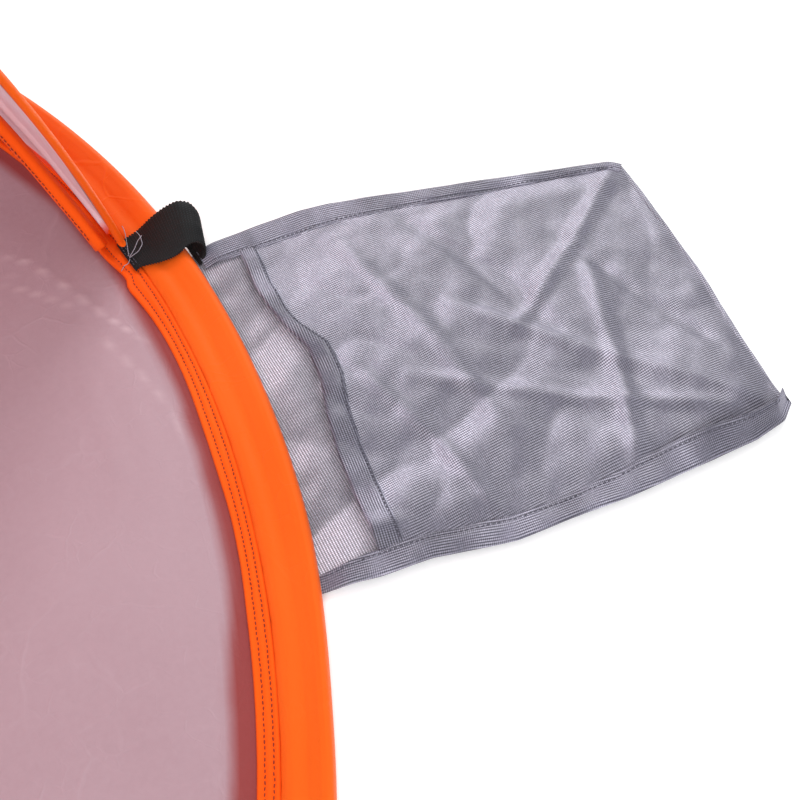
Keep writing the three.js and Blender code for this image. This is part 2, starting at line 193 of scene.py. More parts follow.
def make(name, verts, faces, mats, uv=None, mat_index=None, attrs=None):
    """mesh object from arrays; faces is one array of triangles or quads, or a list of them"""
    mesh = bpy.data.meshes.new(name)
    verts = np.asarray(verts, np.float32).reshape(-1, 3)
    groups = [np.asarray(g, np.int32) for g in (faces if isinstance(faces, list) else [faces])]
    loops = np.concatenate([group.ravel() for group in groups])
    totals = np.concatenate([np.full(len(g), g.shape[1], np.int32) for g in groups])
    starts = np.concatenate([[0], np.cumsum(totals)[:-1]]).astype(np.int32)
    mesh.vertices.add(len(verts))
    mesh.vertices.foreach_set("co", verts.ravel())
    mesh.loops.add(len(loops))
    mesh.loops.foreach_set("vertex_index", loops)
    mesh.polygons.add(len(totals))
    mesh.polygons.foreach_set("loop_start", starts)
    mesh.update(calc_edges=True)
    mesh.polygons.foreach_set("use_smooth", np.ones(len(totals), bool))
    for mat in mats if isinstance(mats, list) else [mats]:
        mesh.materials.append(mat)
    if mat_index is not None:
        mesh.polygons.foreach_set("material_index", np.asarray(mat_index, np.int32))
    if uv is not None:
        layer = mesh.uv_layers.new(name="UVMap")
        corners = np.asarray(uv, np.float32).reshape(-1, 2)[loops]
        layer.data.foreach_set("uv", corners.ravel())
    for key, values in (attrs or {}).items():
        layer = mesh.attributes.new(key, "FLOAT", "POINT")
        layer.data.foreach_set("value", np.asarray(values, np.float32).ravel())
    mesh.update()
    return add_object(name, mesh)


def quads(rows, columns, wrap_rows=False, wrap_columns=False, base=0):
    """faces of a grid of points; base is the number of its first point"""
    first_row = np.arange(rows if wrap_rows else rows - 1)
    first_column = np.arange(columns if wrap_columns else columns - 1)
    row, column = np.meshgrid(first_row, first_column, indexing="ij")
    row_next, column_next = (row + 1) % rows, (column + 1) % columns
    corners = [row * columns + column, row_next * columns + column,
               row_next * columns + column_next, row * columns + column_next]
    return np.stack(corners, -1).reshape(-1, 4) + base


def grid_uv(first, second):
    return np.stack(np.broadcast_arrays(first, second), -1)


def grid_normals(points):
    return unit(np.cross(np.gradient(points, axis=0), np.gradient(points, axis=1)))


def coords(obj):
    flat = np.empty(len(obj.data.vertices) * 3)
    obj.data.vertices.foreach_get("co", flat)
    return flat.reshape(-1, 3)


def face_outwards(obj):
    """flip a closed mesh if it is inside out"""
    mesh = obj.data
    mesh.calc_loop_triangles()
    corners = np.empty(len(mesh.loop_triangles) * 3, np.int32)
    mesh.loop_triangles.foreach_get("vertices", corners)
    first, second, third = np.moveaxis(coords(obj)[corners.reshape(-1, 3)], 1, 0)
    if np.einsum("ij,ij->i", first, np.cross(second, third)).sum() < 0:
        mesh.flip_normals()


def two_sided(top, low):
    """vertices and faces of a closed sheet between two grids of points"""
    rows, columns = top.shape[:2]
    count = rows * columns
    number = np.arange(count).reshape(rows, columns)
    faces = [quads(rows, columns), quads(rows, columns, base=count)[:, ::-1]]
    for edge in (number[::-1, 0], number[:, -1], number[0, :], number[-1, ::-1]):
        faces.append(np.stack([edge[:-1], edge[:-1] + count, edge[1:] + count, edge[1:]], -1))
    return np.concatenate([top.reshape(-1, 3), low.reshape(-1, 3)]), np.concatenate(faces)


def twice(values, width=1):
    """the same values for the top and the lower grid of a sheet"""
    flat = np.asarray(values).reshape(-1, width)
    return np.concatenate([flat, flat])


def net_sheet(name, points, mat, uv, lit):
    """closed thin net around one grid of points; lit is its lean towards the light"""
    offset = grid_normals(points) * NET_THICK * 0.5
    verts, faces = two_sided(points + offset, points - offset)
    return make(name, verts, faces, mat, twice(uv, 2), np.zeros(len(faces)), {"lit": twice(lit)})


def capped(rings):
    """vertices, quads and end triangles of a tube given as rows of rings"""
    count, sides = rings.shape[:2]
    verts = np.concatenate([rings.reshape(-1, 3), [rings[0].mean(0), rings[-1].mean(0)]])
    side = np.arange(sides)
    after = (side + 1) % sides
    last = (count - 1) * sides
    start_cap = np.stack([np.full(sides, count * sides), after, side], -1)
    end_cap = np.stack([np.full(sides, count * sides + 1), last + side, last + after], -1)
    return verts, [quads(count, sides, False, True), np.concatenate([start_cap, end_cap])]


def capped_strip(name, rings, mat, uv, attr, ring_values, cap_value):
    """closed strip with one attribute value for each ring"""
    verts, faces = capped(rings)
    values = np.append(np.repeat(ring_values, rings.shape[1]), [cap_value] * 2)
    uv = np.concatenate([uv.reshape(-1, 2), np.zeros((2, 2))])
    obj = make(name, verts, faces, mat, uv, attrs={attr: values})
    face_outwards(obj)
    return obj, verts


def merge(parts):
    """join (vertices, [quads, triangles]) parts into one"""
    verts, four, three, base = [], [], [], 0
    for part, (part_quads, part_triangles) in parts:
        verts.append(part)
        four.append(part_quads + base)
        three.append(part_triangles + base)
        base += len(part)
    return np.concatenate(verts), [np.concatenate(four), np.concatenate(three)]


def round_threads(paths, radius, sides):
    """closed round tubes along point lists"""
    parts = []
    turn = np.linspace(0, 2 * np.pi, sides, endpoint=False)[None, :, None]
    for path in paths:
        along = unit(np.gradient(path, axis=0))
        side = unit(np.cross(along, UP))
        above = np.cross(side, along)
        rings = path[:, None] + radius * (np.cos(turn) * side[:, None]
                                          + np.sin(turn) * above[:, None])
        verts, (walls, caps) = capped(rings)
        parts.append((verts, [walls[:, ::-1], caps[:, [0, 2, 1]]]))
    return merge(parts)


STITCH_GAP = 0.28      # share of the pitch left open between stitches
STITCH_RISE = 0.00025  # how far a stitch arches off the cloth
STITCH_JITTER = 0.00012
# each stitch has five rings of five points: (share of its length, share of rise, of radius)
STITCH_RINGS = np.array([(0.0, -0.8, 0.55), (0.18, 0.5, 0.95), (0.5, 1.0, 1.05),
                         (0.82, 0.5, 0.95), (1.0, -0.8, 0.55)])


def stitches(line, normal, seed, pitch=0.0028, radius=0.00024):
    """vertices and faces of thread stitches along a line; normal is that of the cloth"""
    normal = np.broadcast_to(normal, line.shape)
    run = lengths(line)
    count = max(1, int(run[-1] / pitch))
    rng = np.random.default_rng(seed)
    number = np.arange(count)
    where = (number * pitch)[:, None] + STITCH_RINGS[None, :, 0] * pitch * (1 - STITCH_GAP)
    centres = columns_at(where, run, line)
    above = unit(columns_at(where, run, normal))
    along = unit(centres[:, -1] - centres[:, 0])
    side = unit(np.cross(along[:, None], above))
    slide = rng.normal(0, STITCH_JITTER, (count, 1, 1))
    skew = np.linspace(-1, 1, 5)[None, :, None] * rng.normal(0, STITCH_JITTER, (count, 1, 1))
    rise = (STITCH_RINGS[:, 1] * STITCH_RISE)[None, :, None]
    centres = centres + above * rise + side * (slide + skew)
    turn = np.linspace(0, 2 * np.pi, 5, endpoint=False)[None, None, :, None]
    ring = np.cos(turn) * side[:, :, None] + np.sin(turn) * above[:, :, None]
    verts = centres[:, :, None] + (radius * STITCH_RINGS[:, 2])[None, :, None, None] * ring
    caps = np.array([[0, 2, 1], [0, 3, 2], [0, 4, 3], [20, 21, 22], [20, 22, 23], [20, 23, 24]])
    base = (number * 25)[:, None, None]
    walls = (quads(5, 5, False, True)[None] + base).reshape(-1, 4)
    caps = (caps[None] + base).reshape(-1, 3)
    return verts.reshape(-1, 3), [walls[:, ::-1], caps[:, ::-1]]


def set_blend(obj, first, second, shares):
    """cloth across the joint of two bodies, with its own share of the turn at each point"""
    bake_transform(obj, first, second, (0, 0, 0), (0, 0, 1))
    layer = obj.data.attributes["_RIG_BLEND"]
    layer.data.foreach_set("value", np.asarray(shares, np.float32).ravel())


# ------------------------------------------------------------------ materials
class Shader:
    """a material with a Principled surface and short ways to add nodes"""

    def __init__(self, name):
        self.mat = bpy.data.materials.new(name)
        self.mat.use_nodes = True
        self.tree = self.mat.node_tree
        self.tree.nodes.clear()
        self.out = self.node("OutputMaterial")
        self.bsdf = self.node("BsdfPrincipled")
        self.feed(self.out.inputs[0], self.bsdf.outputs[0])
        self.uv_sockets = self.object_socket = None

    def node(self, kind, **settings):
        node = self.tree.nodes.new("ShaderNode" + kind)
        for key, value in settings.items():
            setattr(node, key, value)
        return node

    def feed(self, socket, value):
        """link a socket, or set it to a number or an (r, g, b) colour"""
        if isinstance(value, bpy.types.NodeSocket):
            self.tree.links.new(value, socket)
        else:
            socket.default_value = (*value, 1) if isinstance(value, tuple) else value

    def surface(self, inputs):
        for key, value in inputs.items():
            self.feed(self.bsdf.inputs[key], value)

    def math(self, operation, *values, clamp=False):
        node = self.node("Math", operation=operation, use_clamp=clamp)
        for socket, value in zip(node.inputs, values):
            self.feed(socket, value)
        return node.outputs[0]

    def uv(self):
        """the UV vector and its two parts"""
        if self.uv_sockets is None:
            source = self.node("UVMap", uv_map="UVMap").outputs[0]
            split = self.node("SeparateXYZ")
            self.feed(split.inputs[0], source)
            self.uv_sockets = (source, split.outputs[0], split.outputs[1])
        return self.uv_sockets

    def object_coords(self):
        if self.object_socket is None:
            self.object_socket = self.node("TexCoord").outputs["Object"]
        return self.object_socket

    def noise(self, scale, detail, rough, vector=None, stretch=None, output="Fac"):
        vector = vector or self.object_coords()
        if stretch:
            mapping = self.node("Mapping")
            self.feed(mapping.inputs[0], vector)
            mapping.inputs["Scale"].default_value = stretch
            vector = mapping.outputs[0]
        texture = self.node("TexNoise")
        for key, value in (("Vector", vector), ("Scale", scale), ("Detail", detail),
                           ("Roughness", rough)):
            self.feed(texture.inputs[key], value)
        return texture.outputs[output]

    def wave(self, coord, pitch):
        """0 to 1 ridges of the given pitch in metres"""
        swing = self.math("SINE", self.math("MULTIPLY", coord, 2 * math.pi / pitch))
        return self.math("MULTIPLY_ADD", swing, 0.5, 0.5)

    def ramp(self, factor, stops):
        node = self.node("ValToRGB")
        elements = node.color_ramp.elements
        while len(elements) < len(stops):
            elements.new(0.5)
        for element, (position, colour) in zip(elements, stops):
            element.position = position
            element.color = (*colour, 1)
        self.feed(node.inputs[0], factor)
        return node.outputs[0]

    def mix(self, factor, first, second, kind="MIX"):
        node = self.node("Mix", data_type="RGBA", blend_type=kind)
        for k, value in ((0, factor), (6, first), (7, second)):
            self.feed(node.inputs[k], value)
        return node.outputs[2]

    def mix_share(self, tone, factor, share, colour):
        """mix in a colour by a share of the factor"""
        return self.mix(self.math("MULTIPLY", factor, share), tone, colour)

    def bump(self, height, strength, distance, normal=None):
        node = self.node("Bump")
        self.feed(node.inputs["Strength"], strength)
        self.feed(node.inputs["Distance"], distance)
        self.feed(node.inputs["Height"], height)
        if normal is not None:
            self.feed(node.inputs["Normal"], normal)
        return node.outputs[0]

    def attribute(self, name):
        return self.node("Attribute", attribute_name=name).outputs["Fac"]


def srgb(*channels):
    """linear colour from 0 to 255 sRGB channels"""
    return tuple(c / 255 / 12.92 if c <= 10 else ((c / 255 + 0.055) / 1.055) ** 2.4
                 for c in channels)


def crumple_lines(shader, base_scale):
    """thin sharp handling creases that come and go, in three sizes"""
    ridges = None
    # (scale against the base, line width, strength)
    sizes = ((1.0, 0.020, 1.0), (2.3, 0.030, 0.7), (5.1, 0.045, 0.45))
    for k, (ratio, width, share) in enumerate(sizes):
        scale = base_scale * ratio
        shift = shader.node("VectorMath", operation="SCALE")
        shader.feed(shift.inputs[0], shader.noise(scale * 0.9, 3, 0.5, output="Color"))
        shader.feed(shift.inputs["Scale"], 0.55 / scale)
        bent = shader.node("VectorMath", operation="ADD")
        shader.feed(bent.inputs[0], shader.object_coords())
        shader.feed(bent.inputs[1], shift.outputs[0])
        cell = shader.node("TexVoronoi", feature="DISTANCE_TO_EDGE")
        shader.feed(cell.inputs["Vector"], bent.outputs[0])
        shader.feed(cell.inputs["Scale"], scale)
        nearness = shader.math("DIVIDE", cell.outputs["Distance"], width)
        line = shader.math("SUBTRACT", 1.0, nearness, clamp=True)
        patch = shader.math("SUBTRACT", shader.noise(scale * 0.8 + 3 * k, 2, 0.5), 0.47)
        here = shader.math("MULTIPLY", patch, 5.0, clamp=True)
        line = shader.math("MULTIPLY", shader.math("MULTIPLY", line, here), share)
        ridges = line if ridges is None else shader.math("MAXIMUM", ridges, line)
    return ridges


def taffeta(name, colour, dark, light, rough=0.5, sheen=0.06, gloss=0.22, metal=0.0, grain=0.0,
            crumple=0.0, crumple_scale=9.0, margin_and_painted_shade=None, scuff=None):
    """plain-woven coated cloth; the two attribute colours are an edge tint (the canopy's turned-up cloth,
    and on the floor painted shade with an orange reflection beside the tape) and scuff marks
    """
    weave = 0.00042
    shader = Shader(name)
    uv, across, along = shader.uv()
    weft, warp = shader.wave(across, weave), shader.wave(along, weave)
    difference = shader.math("ABSOLUTE", shader.math("SUBTRACT", weft, warp))
    checks = shader.math("MULTIPLY", difference, 1.0)
    streak = shader.noise(60.0, 3, 0.6, vector=uv, stretch=(1.0, 9.0, 1.0))
    drift = shader.noise(3.2, 3, 0.5)
    tone = shader.ramp(drift, [(0.20, dark), (0.5, colour), (0.85, light)])
    tone = shader.mix_share(tone, streak, 0.16, light)
    tone = shader.mix_share(tone, checks, 0.10, dark)
    if grain:
        tone = shader.mix_share(tone, shader.noise(260.0, 2, 0.6), grain, light)
    if scuff:
        tone = shader.mix_share(tone, shader.attribute("scuff"), 0.34, scuff)
    if crumple:
        ridges = crumple_lines(shader, crumple_scale)
        tone = shader.mix_share(tone, ridges, crumple, light)
    # edge tint from a mesh attribute: turned-up cloth on the canopy, and on the floor painted shade with an
    # orange reflection beside the tape
    if margin_and_painted_shade:
        tone = shader.mix(shader.attribute("margin_and_painted_shade"), tone, margin_and_painted_shade)
    # weave, fine unevenness and soft handling marks
    relief = shader.bump(checks, strength=0.35, distance=0.00008)
    relief = shader.bump(shader.noise(120.0, 3, 0.6), 0.18, 0.0006, relief)
    relief = shader.bump(shader.noise(28.0, 4, 0.62), 0.22, 0.0025, relief)
    if crumple:
        relief = shader.bump(ridges, 0.35, 0.0006, relief)
    roughness = shader.math("MULTIPLY_ADD", shader.noise(30.0, 3, 0.6), 0.22, rough - 0.11)
    shader.surface({
        "Base Color": tone, "Metallic": metal, "Roughness": roughness,
        "Specular IOR Level": gloss, "Specular Tint": light, "Sheen Weight": sheen,
        "Sheen Roughness": 0.45, "Sheen Tint": light, "Normal": relief})
    return shader.mat


def knit(name, light, mid, dark, doubled=False, turn=0.12, see=0.165, along_u=False, depth=1.0):
    """fine net of two crossing sets of yarns; doubled cloth has a second net slightly turned
    behind it. see is how clear the gaps are. The lit attribute (0 to 1) is how far a fold leans
    towards the light, since the silky yarns flash on one slope."""
    pitch = 0.00140
    shader = Shader(name)
    uv, first, second = shader.uv()
    drift = shader.noise(7.0, 2, 0.5, vector=uv)
    wobble = shader.math("MULTIPLY", shader.math("SUBTRACT", drift, 0.5), 0.012)

    def net(angle, scale, phase):
        cosine, sine = math.cos(angle) * scale, math.sin(angle) * scale
        turned_u = shader.math("ADD", shader.math(
            "ADD", shader.math("MULTIPLY", first, cosine),
            shader.math("MULTIPLY", second, sine)), wobble)
        turned_v = shader.math("ADD", shader.math(
            "SUBTRACT", shader.math("MULTIPLY", second, cosine),
            shader.math("MULTIPLY", first, sine)), shader.math("MULTIPLY", wobble, 0.8))
        strong, weak = (turned_v, turned_u) if along_u else (turned_u, turned_v)
        rows = shader.wave(shader.math("ADD", strong, phase), pitch)
        columns = shader.math("MULTIPLY", shader.wave(weak, pitch * 0.80), 0.40)
        return shader.math("MULTIPLY_ADD", rows, 0.68, columns, clamp=True)

    yarn = net(turn, 1.0, 0.0)
    if doubled:
        behind = net(turn - 0.06, 0.965, 0.0005)
        yarn = shader.math("MULTIPLY_ADD", yarn, 0.68, shader.math("MULTIPLY", behind, 0.32))
    tone = shader.ramp(yarn, [(0.14, dark), (0.52, mid), (0.92, light)])
    # silky flash on the slopes that lean to the light
    soft = shader.noise(10.0, 3, 0.5, vector=uv, stretch=(1.0, 1.7, 1.0))
    swing = shader.math("MULTIPLY", shader.math("SUBTRACT", soft, 0.5), 0.5 * depth)
    lit = shader.math("ADD", shader.attribute("lit"), swing, clamp=True)
    flash = shader.ramp(lit, [(0.08, (0.58, 0.575, 0.62)), (0.42, (0.86, 0.855, 0.88)),
                              (0.60, (1.06, 1.055, 1.08)), (0.92, (1.55, 1.54, 1.56))])
    speck = shader.ramp(
        shader.noise(620.0, 2, 0.65, vector=uv),
        [(0.30, (0.80, 0.80, 0.81)), (0.52, (0.98, 0.98, 0.98)), (0.70, (1.22, 1.22, 1.21))])
    patchy = shader.ramp(
        shader.noise(58.0, 4, 0.62, vector=uv, stretch=(1.0, 1.3, 1.0)),
        [(0.30, (0.88, 0.88, 0.89)), (0.5, (0.99, 0.99, 0.99)), (0.72, (1.12, 1.12, 1.12))])
    for factor in (flash, speck, patchy):
        tone = shader.mix(1.0, tone, factor, "MULTIPLY")
    wrinkle = shader.noise(42.0, 3, 0.55, vector=uv, stretch=(1.0, 1.5, 1.0))
    relief = shader.bump(yarn, 0.8, 0.00028, shader.bump(wrinkle, 0.45, 0.0020))
    shader.surface({
        "Base Color": tone, "Roughness": 0.40, "Specular IOR Level": 0.6,
        "Sheen Weight": 0.10, "Sheen Roughness": 0.35, "Normal": relief})
    gap = shader.math("SUBTRACT", 1.0, shader.math("MULTIPLY", yarn, 1.6), clamp=True)
    mixer = shader.node("MixShader")
    shader.feed(mixer.inputs[0], shader.math("MULTIPLY", gap, see))
    shader.feed(mixer.inputs[1], shader.bsdf.outputs[0])
    shader.feed(mixer.inputs[2], shader.node("BsdfTransparent").outputs[0])
    shader.feed(shader.out.inputs[0], mixer.outputs[0])
    return shader.mat


def webbing(name, base, high):
    """ribbed woven tape"""
    shader = Shader(name)
    _, across, along = shader.uv()
    rib = shader.wave(across, 0.0017)
    slant = shader.math("ADD", along, shader.math("MULTIPLY", across, 0.6))
    height = shader.math("MULTIPLY", rib, shader.wave(slant, 0.0013))
    fuzz = shader.noise(900.0, 2, 0.6)
    factor = shader.math("MULTIPLY_ADD", fuzz, 0.35, shader.math("MULTIPLY", height, 0.7))
    middle = tuple(0.5 * (a + b) for a, b in zip(base, high))
    tone = shader.ramp(factor, [(0.1, base), (0.55, middle), (0.95, high)])
    fine = shader.bump(shader.noise(1500.0, 2, 0.6), 0.3, 0.0001)
    shader.surface({
        "Base Color": tone, "Roughness": 0.6, "Specular IOR Level": 0.3, "Sheen Weight": 0.04,
        "Sheen Roughness": 0.4, "Normal": shader.bump(height, 0.6, 0.00025, fine)})
    return shader.mat


def thread(name, colour, light):
    shader = Shader(name)
    twist = shader.noise(2600.0, 1, 0.5)
    shader.surface({
        "Base Color": shader.ramp(twist, [(0.3, colour), (0.8, light)]), "Roughness": 0.55,
        "Normal": shader.bump(twist, 0.5, 0.0001)})
    return shader.mat


def steel(name):
    shader = Shader(name)
    cloud = shader.noise(400.0, 3, 0.6)
    tone = shader.ramp(cloud, [(0.3, (0.33, 0.34, 0.36)), (0.8, (0.55, 0.56, 0.58))])
    shader.surface({
        "Base Color": tone, "Metallic": 0.95,
        "Roughness": shader.math("MULTIPLY_ADD", cloud, 0.25, 0.22),
        "Normal": shader.bump(cloud, 0.15, 0.0002)})
    return shader.mat


M_SLEEVE = taffeta("sleeve_orange", srgb(231, 94, 26), dark=srgb(222, 84, 18),
                   light=srgb(240, 106, 38), rough=0.42, gloss=0.42,
                   crumple=0.35, crumple_scale=16.0)
M_BAND = taffeta("band_red_orange", srgb(240, 86, 22), dark=srgb(226, 66, 14),
                 light=srgb(246, 104, 32))
M_OUT = taffeta("canopy_orange", srgb(238, 94, 22), dark=srgb(228, 84, 16),
                light=srgb(246, 106, 32), sheen=0.08, margin_and_painted_shade=srgb(246, 80, 4),
                crumple=0.18, crumple_scale=6.0)
M_IN = taffeta("canopy_inside_coated", srgb(224, 197, 206), dark=srgb(212, 180, 190),
               light=srgb(232, 210, 217), rough=0.42, sheen=0.1, metal=0.05, grain=0.25,
               margin_and_painted_shade=srgb(244, 66, 2), gloss=0.4, crumple=0.4, crumple_scale=10.0)
# the floor's edge colour is painted shade: the tape's shadow with its orange reflection on the cloth
M_FLOOR = taffeta("floor_coated", srgb(166, 137, 145), dark=srgb(157, 126, 133),
                  light=srgb(178, 152, 160), rough=0.42, sheen=0.08, metal=0.06, grain=0.55,
                  margin_and_painted_shade=srgb(138, 46, 40), gloss=0.4, scuff=srgb(236, 214, 220),
                  crumple=0.55, crumple_scale=11.0)
M_NET = knit("mesh_single", light=srgb(196, 192, 203), mid=srgb(140, 135, 147),
             dark=srgb(74, 70, 82), see=0.9, along_u=True)
M_NET_DOUBLE = knit("mesh_double", light=srgb(188, 186, 199), mid=srgb(128, 126, 140),
                    dark=srgb(62, 60, 74), doubled=True)
M_NET_HEM = knit("mesh_hem", light=srgb(170, 168, 183), mid=srgb(106, 104, 119),
                 dark=srgb(48, 46, 60), doubled=True, turn=0.0, along_u=True, depth=1.2)
M_WEB = webbing("webbing_black", srgb(3, 3, 4), srgb(27, 28, 32))
M_THREAD = thread("thread_plum", srgb(96, 8, 10), srgb(150, 30, 22))
M_THREAD_GREY = thread("thread_grey", srgb(52, 50, 64), srgb(96, 94, 108))
M_THREAD_PALE = thread("thread_pale", srgb(120, 112, 126), srgb(186, 180, 190))
M_STEEL = steel("spring_steel")
for node_name, node_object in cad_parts.items():
    is_steel = "wire" in node_name or "ferrule" in node_name
    node_object.data.materials.clear()
    node_object.data.materials.append(M_STEEL if is_steel else M_WEB)


# ------------------------------------------------------------------ the ground hoop's line
def normal_at(angle):
    """outward direction of the hoop, in plan"""
    return unit(np.stack([np.cos(angle) / HALF_X, np.sin(angle) / HALF_Y], -1))


def hoop_point(angle, out, z):
    """point beside the hoop; out is measured outwards from the seam line"""
    offset = np.asarray(out - SLEEVE_W)[..., None]
    plan = (np.stack([HALF_X * np.cos(angle), HALF_Y * np.sin(angle)], -1)
            + normal_at(angle) * offset)
    height = np.broadcast_to(np.asarray(z, float)[..., None], plan.shape[:-1] + (1,))
    return np.concatenate([plan, height], -1)


FINE_ANGLE = np.linspace(-np.pi, np.pi, 8001)
FINE_RUN = lengths(hoop_point(FINE_ANGLE, 0.0, 0.0)[:, :2])
PERIMETER = FINE_RUN[-1]


def angle_at(run):
    return np.interp(np.mod(run, PERIMETER), FINE_RUN, FINE_ANGLE)


FOOT_RUN = np.interp(0.0, FINE_ANGLE, FINE_RUN)  # the arches' right foot
HOOP_STEPS = 1100
RUN = (np.arange(HOOP_STEPS) / HOOP_STEPS * PERIMETER)[:, None]
ANGLE = angle_at(RUN)

# ------------------------------------------------------------------ sleeve over the hoop
# (outwards from the seam, height of the top) in mm
SLEEVE_TOP = mm([(-0.6, 1.6), (0.5, 2.9), (2.5, 4.3), (5.5, 5.1), (9.5, 5.5), (13.5, 6.1),
                 (17.5, 7.4), (21.5, 9.0), (24.8, 9.6), (27.2, 8.6), (28.6, 6.4), (29.0, 4.2)])
# the same for the underside, from the outer edge back to the seam
SLEEVE_UNDER = mm([(28.7, 2.2), (27.6, 1.1), (25.5, 0.5), (20, 0.4), (10, 0.4), (0, 0.4)])


def sleeve_height(out, run):
    """top of the sleeve cloth: puckered at the seam, rippled, with a shallow valley"""
    pucker = 0.0012 * fbm(run / 0.011, out / 0.03, 11, 3) * np.exp(-np.maximum(out, 0) / 0.006)
    ripples = (0.0013 * fbm(run / 0.075, out / 0.02, 23, 3) * smooth(0.0, 0.008, out)
               * (1 - smooth(0.023, SLEEVE_W, out)))
    valley = -0.0011 * bell(out, 0.0115, 0.0035) * (0.7 + 0.6 * noise(run / 0.3, 0.0, 3))
    return table_at(out, SLEEVE_TOP) + pucker + ripples + valley


def build_sleeve():
    out = np.concatenate([np.linspace(-0.0004, 0.0262, 34), [0.0273, 0.0281, 0.0287, 0.0290]])
    # drawn a little narrower where the hoop bends round to the front
    bend = np.degrees(np.arctan2(-np.sin(ANGLE), np.abs(np.cos(ANGLE))))
    drawn = smooth(16.0, 25.0, bend) * (1 - smooth(38.0, 47.0, bend))
    sway = (0.0006 * noise(RUN / 0.16, 0.0, 31) - 0.0030 * drawn) * smooth(0.010, SLEEVE_W, out)
    top = hoop_point(ANGLE, out + sway, sleeve_height(out, RUN))
    under_out = SLEEVE_UNDER[:, 0]
    under = hoop_point(ANGLE, under_out + sway[:, -1:] * (under_out > 0.02), SLEEVE_UNDER[:, 1])
    points = np.concatenate([top, under], 1)
    uv = grid_uv(RUN, np.concatenate([out, 0.060 - under_out]))
    # the profile closes on itself along the seam
    faces = quads(HOOP_STEPS, points.shape[1], True, True)
    sleeve = make("ground_sleeve", points, faces, M_SLEEVE, uv)
    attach(sleeve, "base")
    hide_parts("base_sleeve")


build_sleeve()

# ------------------------------------------------------------------ seam band inside the sleeve
# (outwards from the seam, height) in mm: folded tape with two stitched furrows
BAND_TOP = mm([(-11.4, 1.6), (-11.1, 2.6), (-10.4, 3.3), (-9.4, 3.4), (-8.2, 2.9), (-7.4, 2.2),
               (-6.6, 2.8), (-5.3, 3.3), (-4.1, 2.9), (-3.3, 2.2), (-2.5, 2.8), (-1.5, 3.3),
               (-0.6, 2.9), (-0.1, 2.0)])
BAND_FURROWS = (-0.0074, -0.0033)


def band_height(out, run):
    return (table_at(out, BAND_TOP) + 0.00065 * fbm(run / 0.006, out / 0.02, 41, 2)
            + 0.0005 * fbm(run / 0.05, out / 0.03, 43, 2))


def band_shift(run):
    """the tape's inner edge wanders a little, with a jog and a dip beside each arch foot"""
    shift = 0.0014 * noise(run / 0.06, 0.0, 51)
    for foot in (FOOT_RUN - 0.022, np.mod(FOOT_RUN + PERIMETER / 2 + 0.022, PERIMETER)):
        shift = shift + 0.0022 * np.tanh((run - foot) / 0.004) * bell(run, foot, 0.03)
    for foot in (FOOT_RUN + 0.008, np.mod(FOOT_RUN + PERIMETER / 2 - 0.008, PERIMETER)):
        shift = shift - 0.0060 * bell(run, foot, 0.030)
    return shift


def band_shift_at(out, run):
    """the seam edge stays put; the shift grows towards the inner edge"""
    return band_shift(run) * smooth(-0.002, -0.010, out)


def build_band():
    out = np.linspace(-0.0114, -0.0001, 28)
    top = hoop_point(ANGLE, out + band_shift_at(out, RUN), band_height(out, RUN))
    low_out = np.array([-0.0006, -0.0111]) + band_shift(RUN) * [0, 1]
    points = np.concatenate([top, hoop_point(ANGLE, low_out, 0.00125)], 1)
    uv = grid_uv(RUN, np.concatenate([out, [0.001, 0.014]]))
    faces = quads(HOOP_STEPS, points.shape[1], True, True)
    band = make("seam_band_tape", points, faces, M_BAND, uv)
    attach(band, "base")
    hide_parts("seam_band", "foot_tab_right", "foot_tab_left")

    run = np.linspace(0, PERIMETER, 5600)
    parts = []
    for k, out in enumerate(BAND_FURROWS):
        line = hoop_point(angle_at(run), out + band_shift_at(out, run),
                          band_height(out, run) + 0.0002)
        parts.append(stitches(line, UP, seed=7 + k, pitch=0.00275, radius=0.00027))
    rows = make("seam_stitching", *merge(parts), M_THREAD)
    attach(rows, "base")


build_band()

# ------------------------------------------------------------------ floor
# lines (x, y) beside the right foot; mirrored for the left one
FOOT_FOLD = [(0.882, 0.050), (0.895, 0.029), (0.902, 0.010), (0.911, -0.022), (0.918, -0.045),
             (0.927, -0.069)]
# (line, width, height)
FOOT_CREASES = [
    (FOOT_FOLD, 0.0016, 0.0014),
    ([(0.900, -0.020), (0.908, -0.060), (0.914, -0.090), (0.914, -0.116), (0.908, -0.150),
      (0.899, -0.185)], 0.0030, -0.0022),
    ([(0.860, -0.160), (0.872, -0.130), (0.879, -0.095), (0.888, -0.060)], 0.0022, 0.0009)]
# (line, width, strength)
FOOT_SCUFFS = [
    (FOOT_FOLD, 0.0011, 0.8),
    ([(0.905, -0.043), (0.912, -0.086), (0.914, -0.113), (0.910, -0.141)], 0.0012, 0.45),
    ([(0.868, 0.030), (0.884, 0.012), (0.898, -0.012), (0.906, -0.030)], 0.0007, 0.6),
    ([(0.850, 0.060), (0.872, 0.036), (0.886, 0.024)], 0.0006, 0.5)]


def random_line(rng, reach, length_range, bend_spread, steps):
    """short bent line somewhere within reach of the middle"""
    centre = rng.uniform(np.negative(reach), reach)
    heading = rng.uniform(0, np.pi)
    length = rng.uniform(*length_range)
    bend = rng.normal(0, bend_spread)
    return [(centre[0] + step * length * math.cos(heading + bend * step),
             centre[1] + step * length * math.sin(heading + bend * step)) for step in steps]


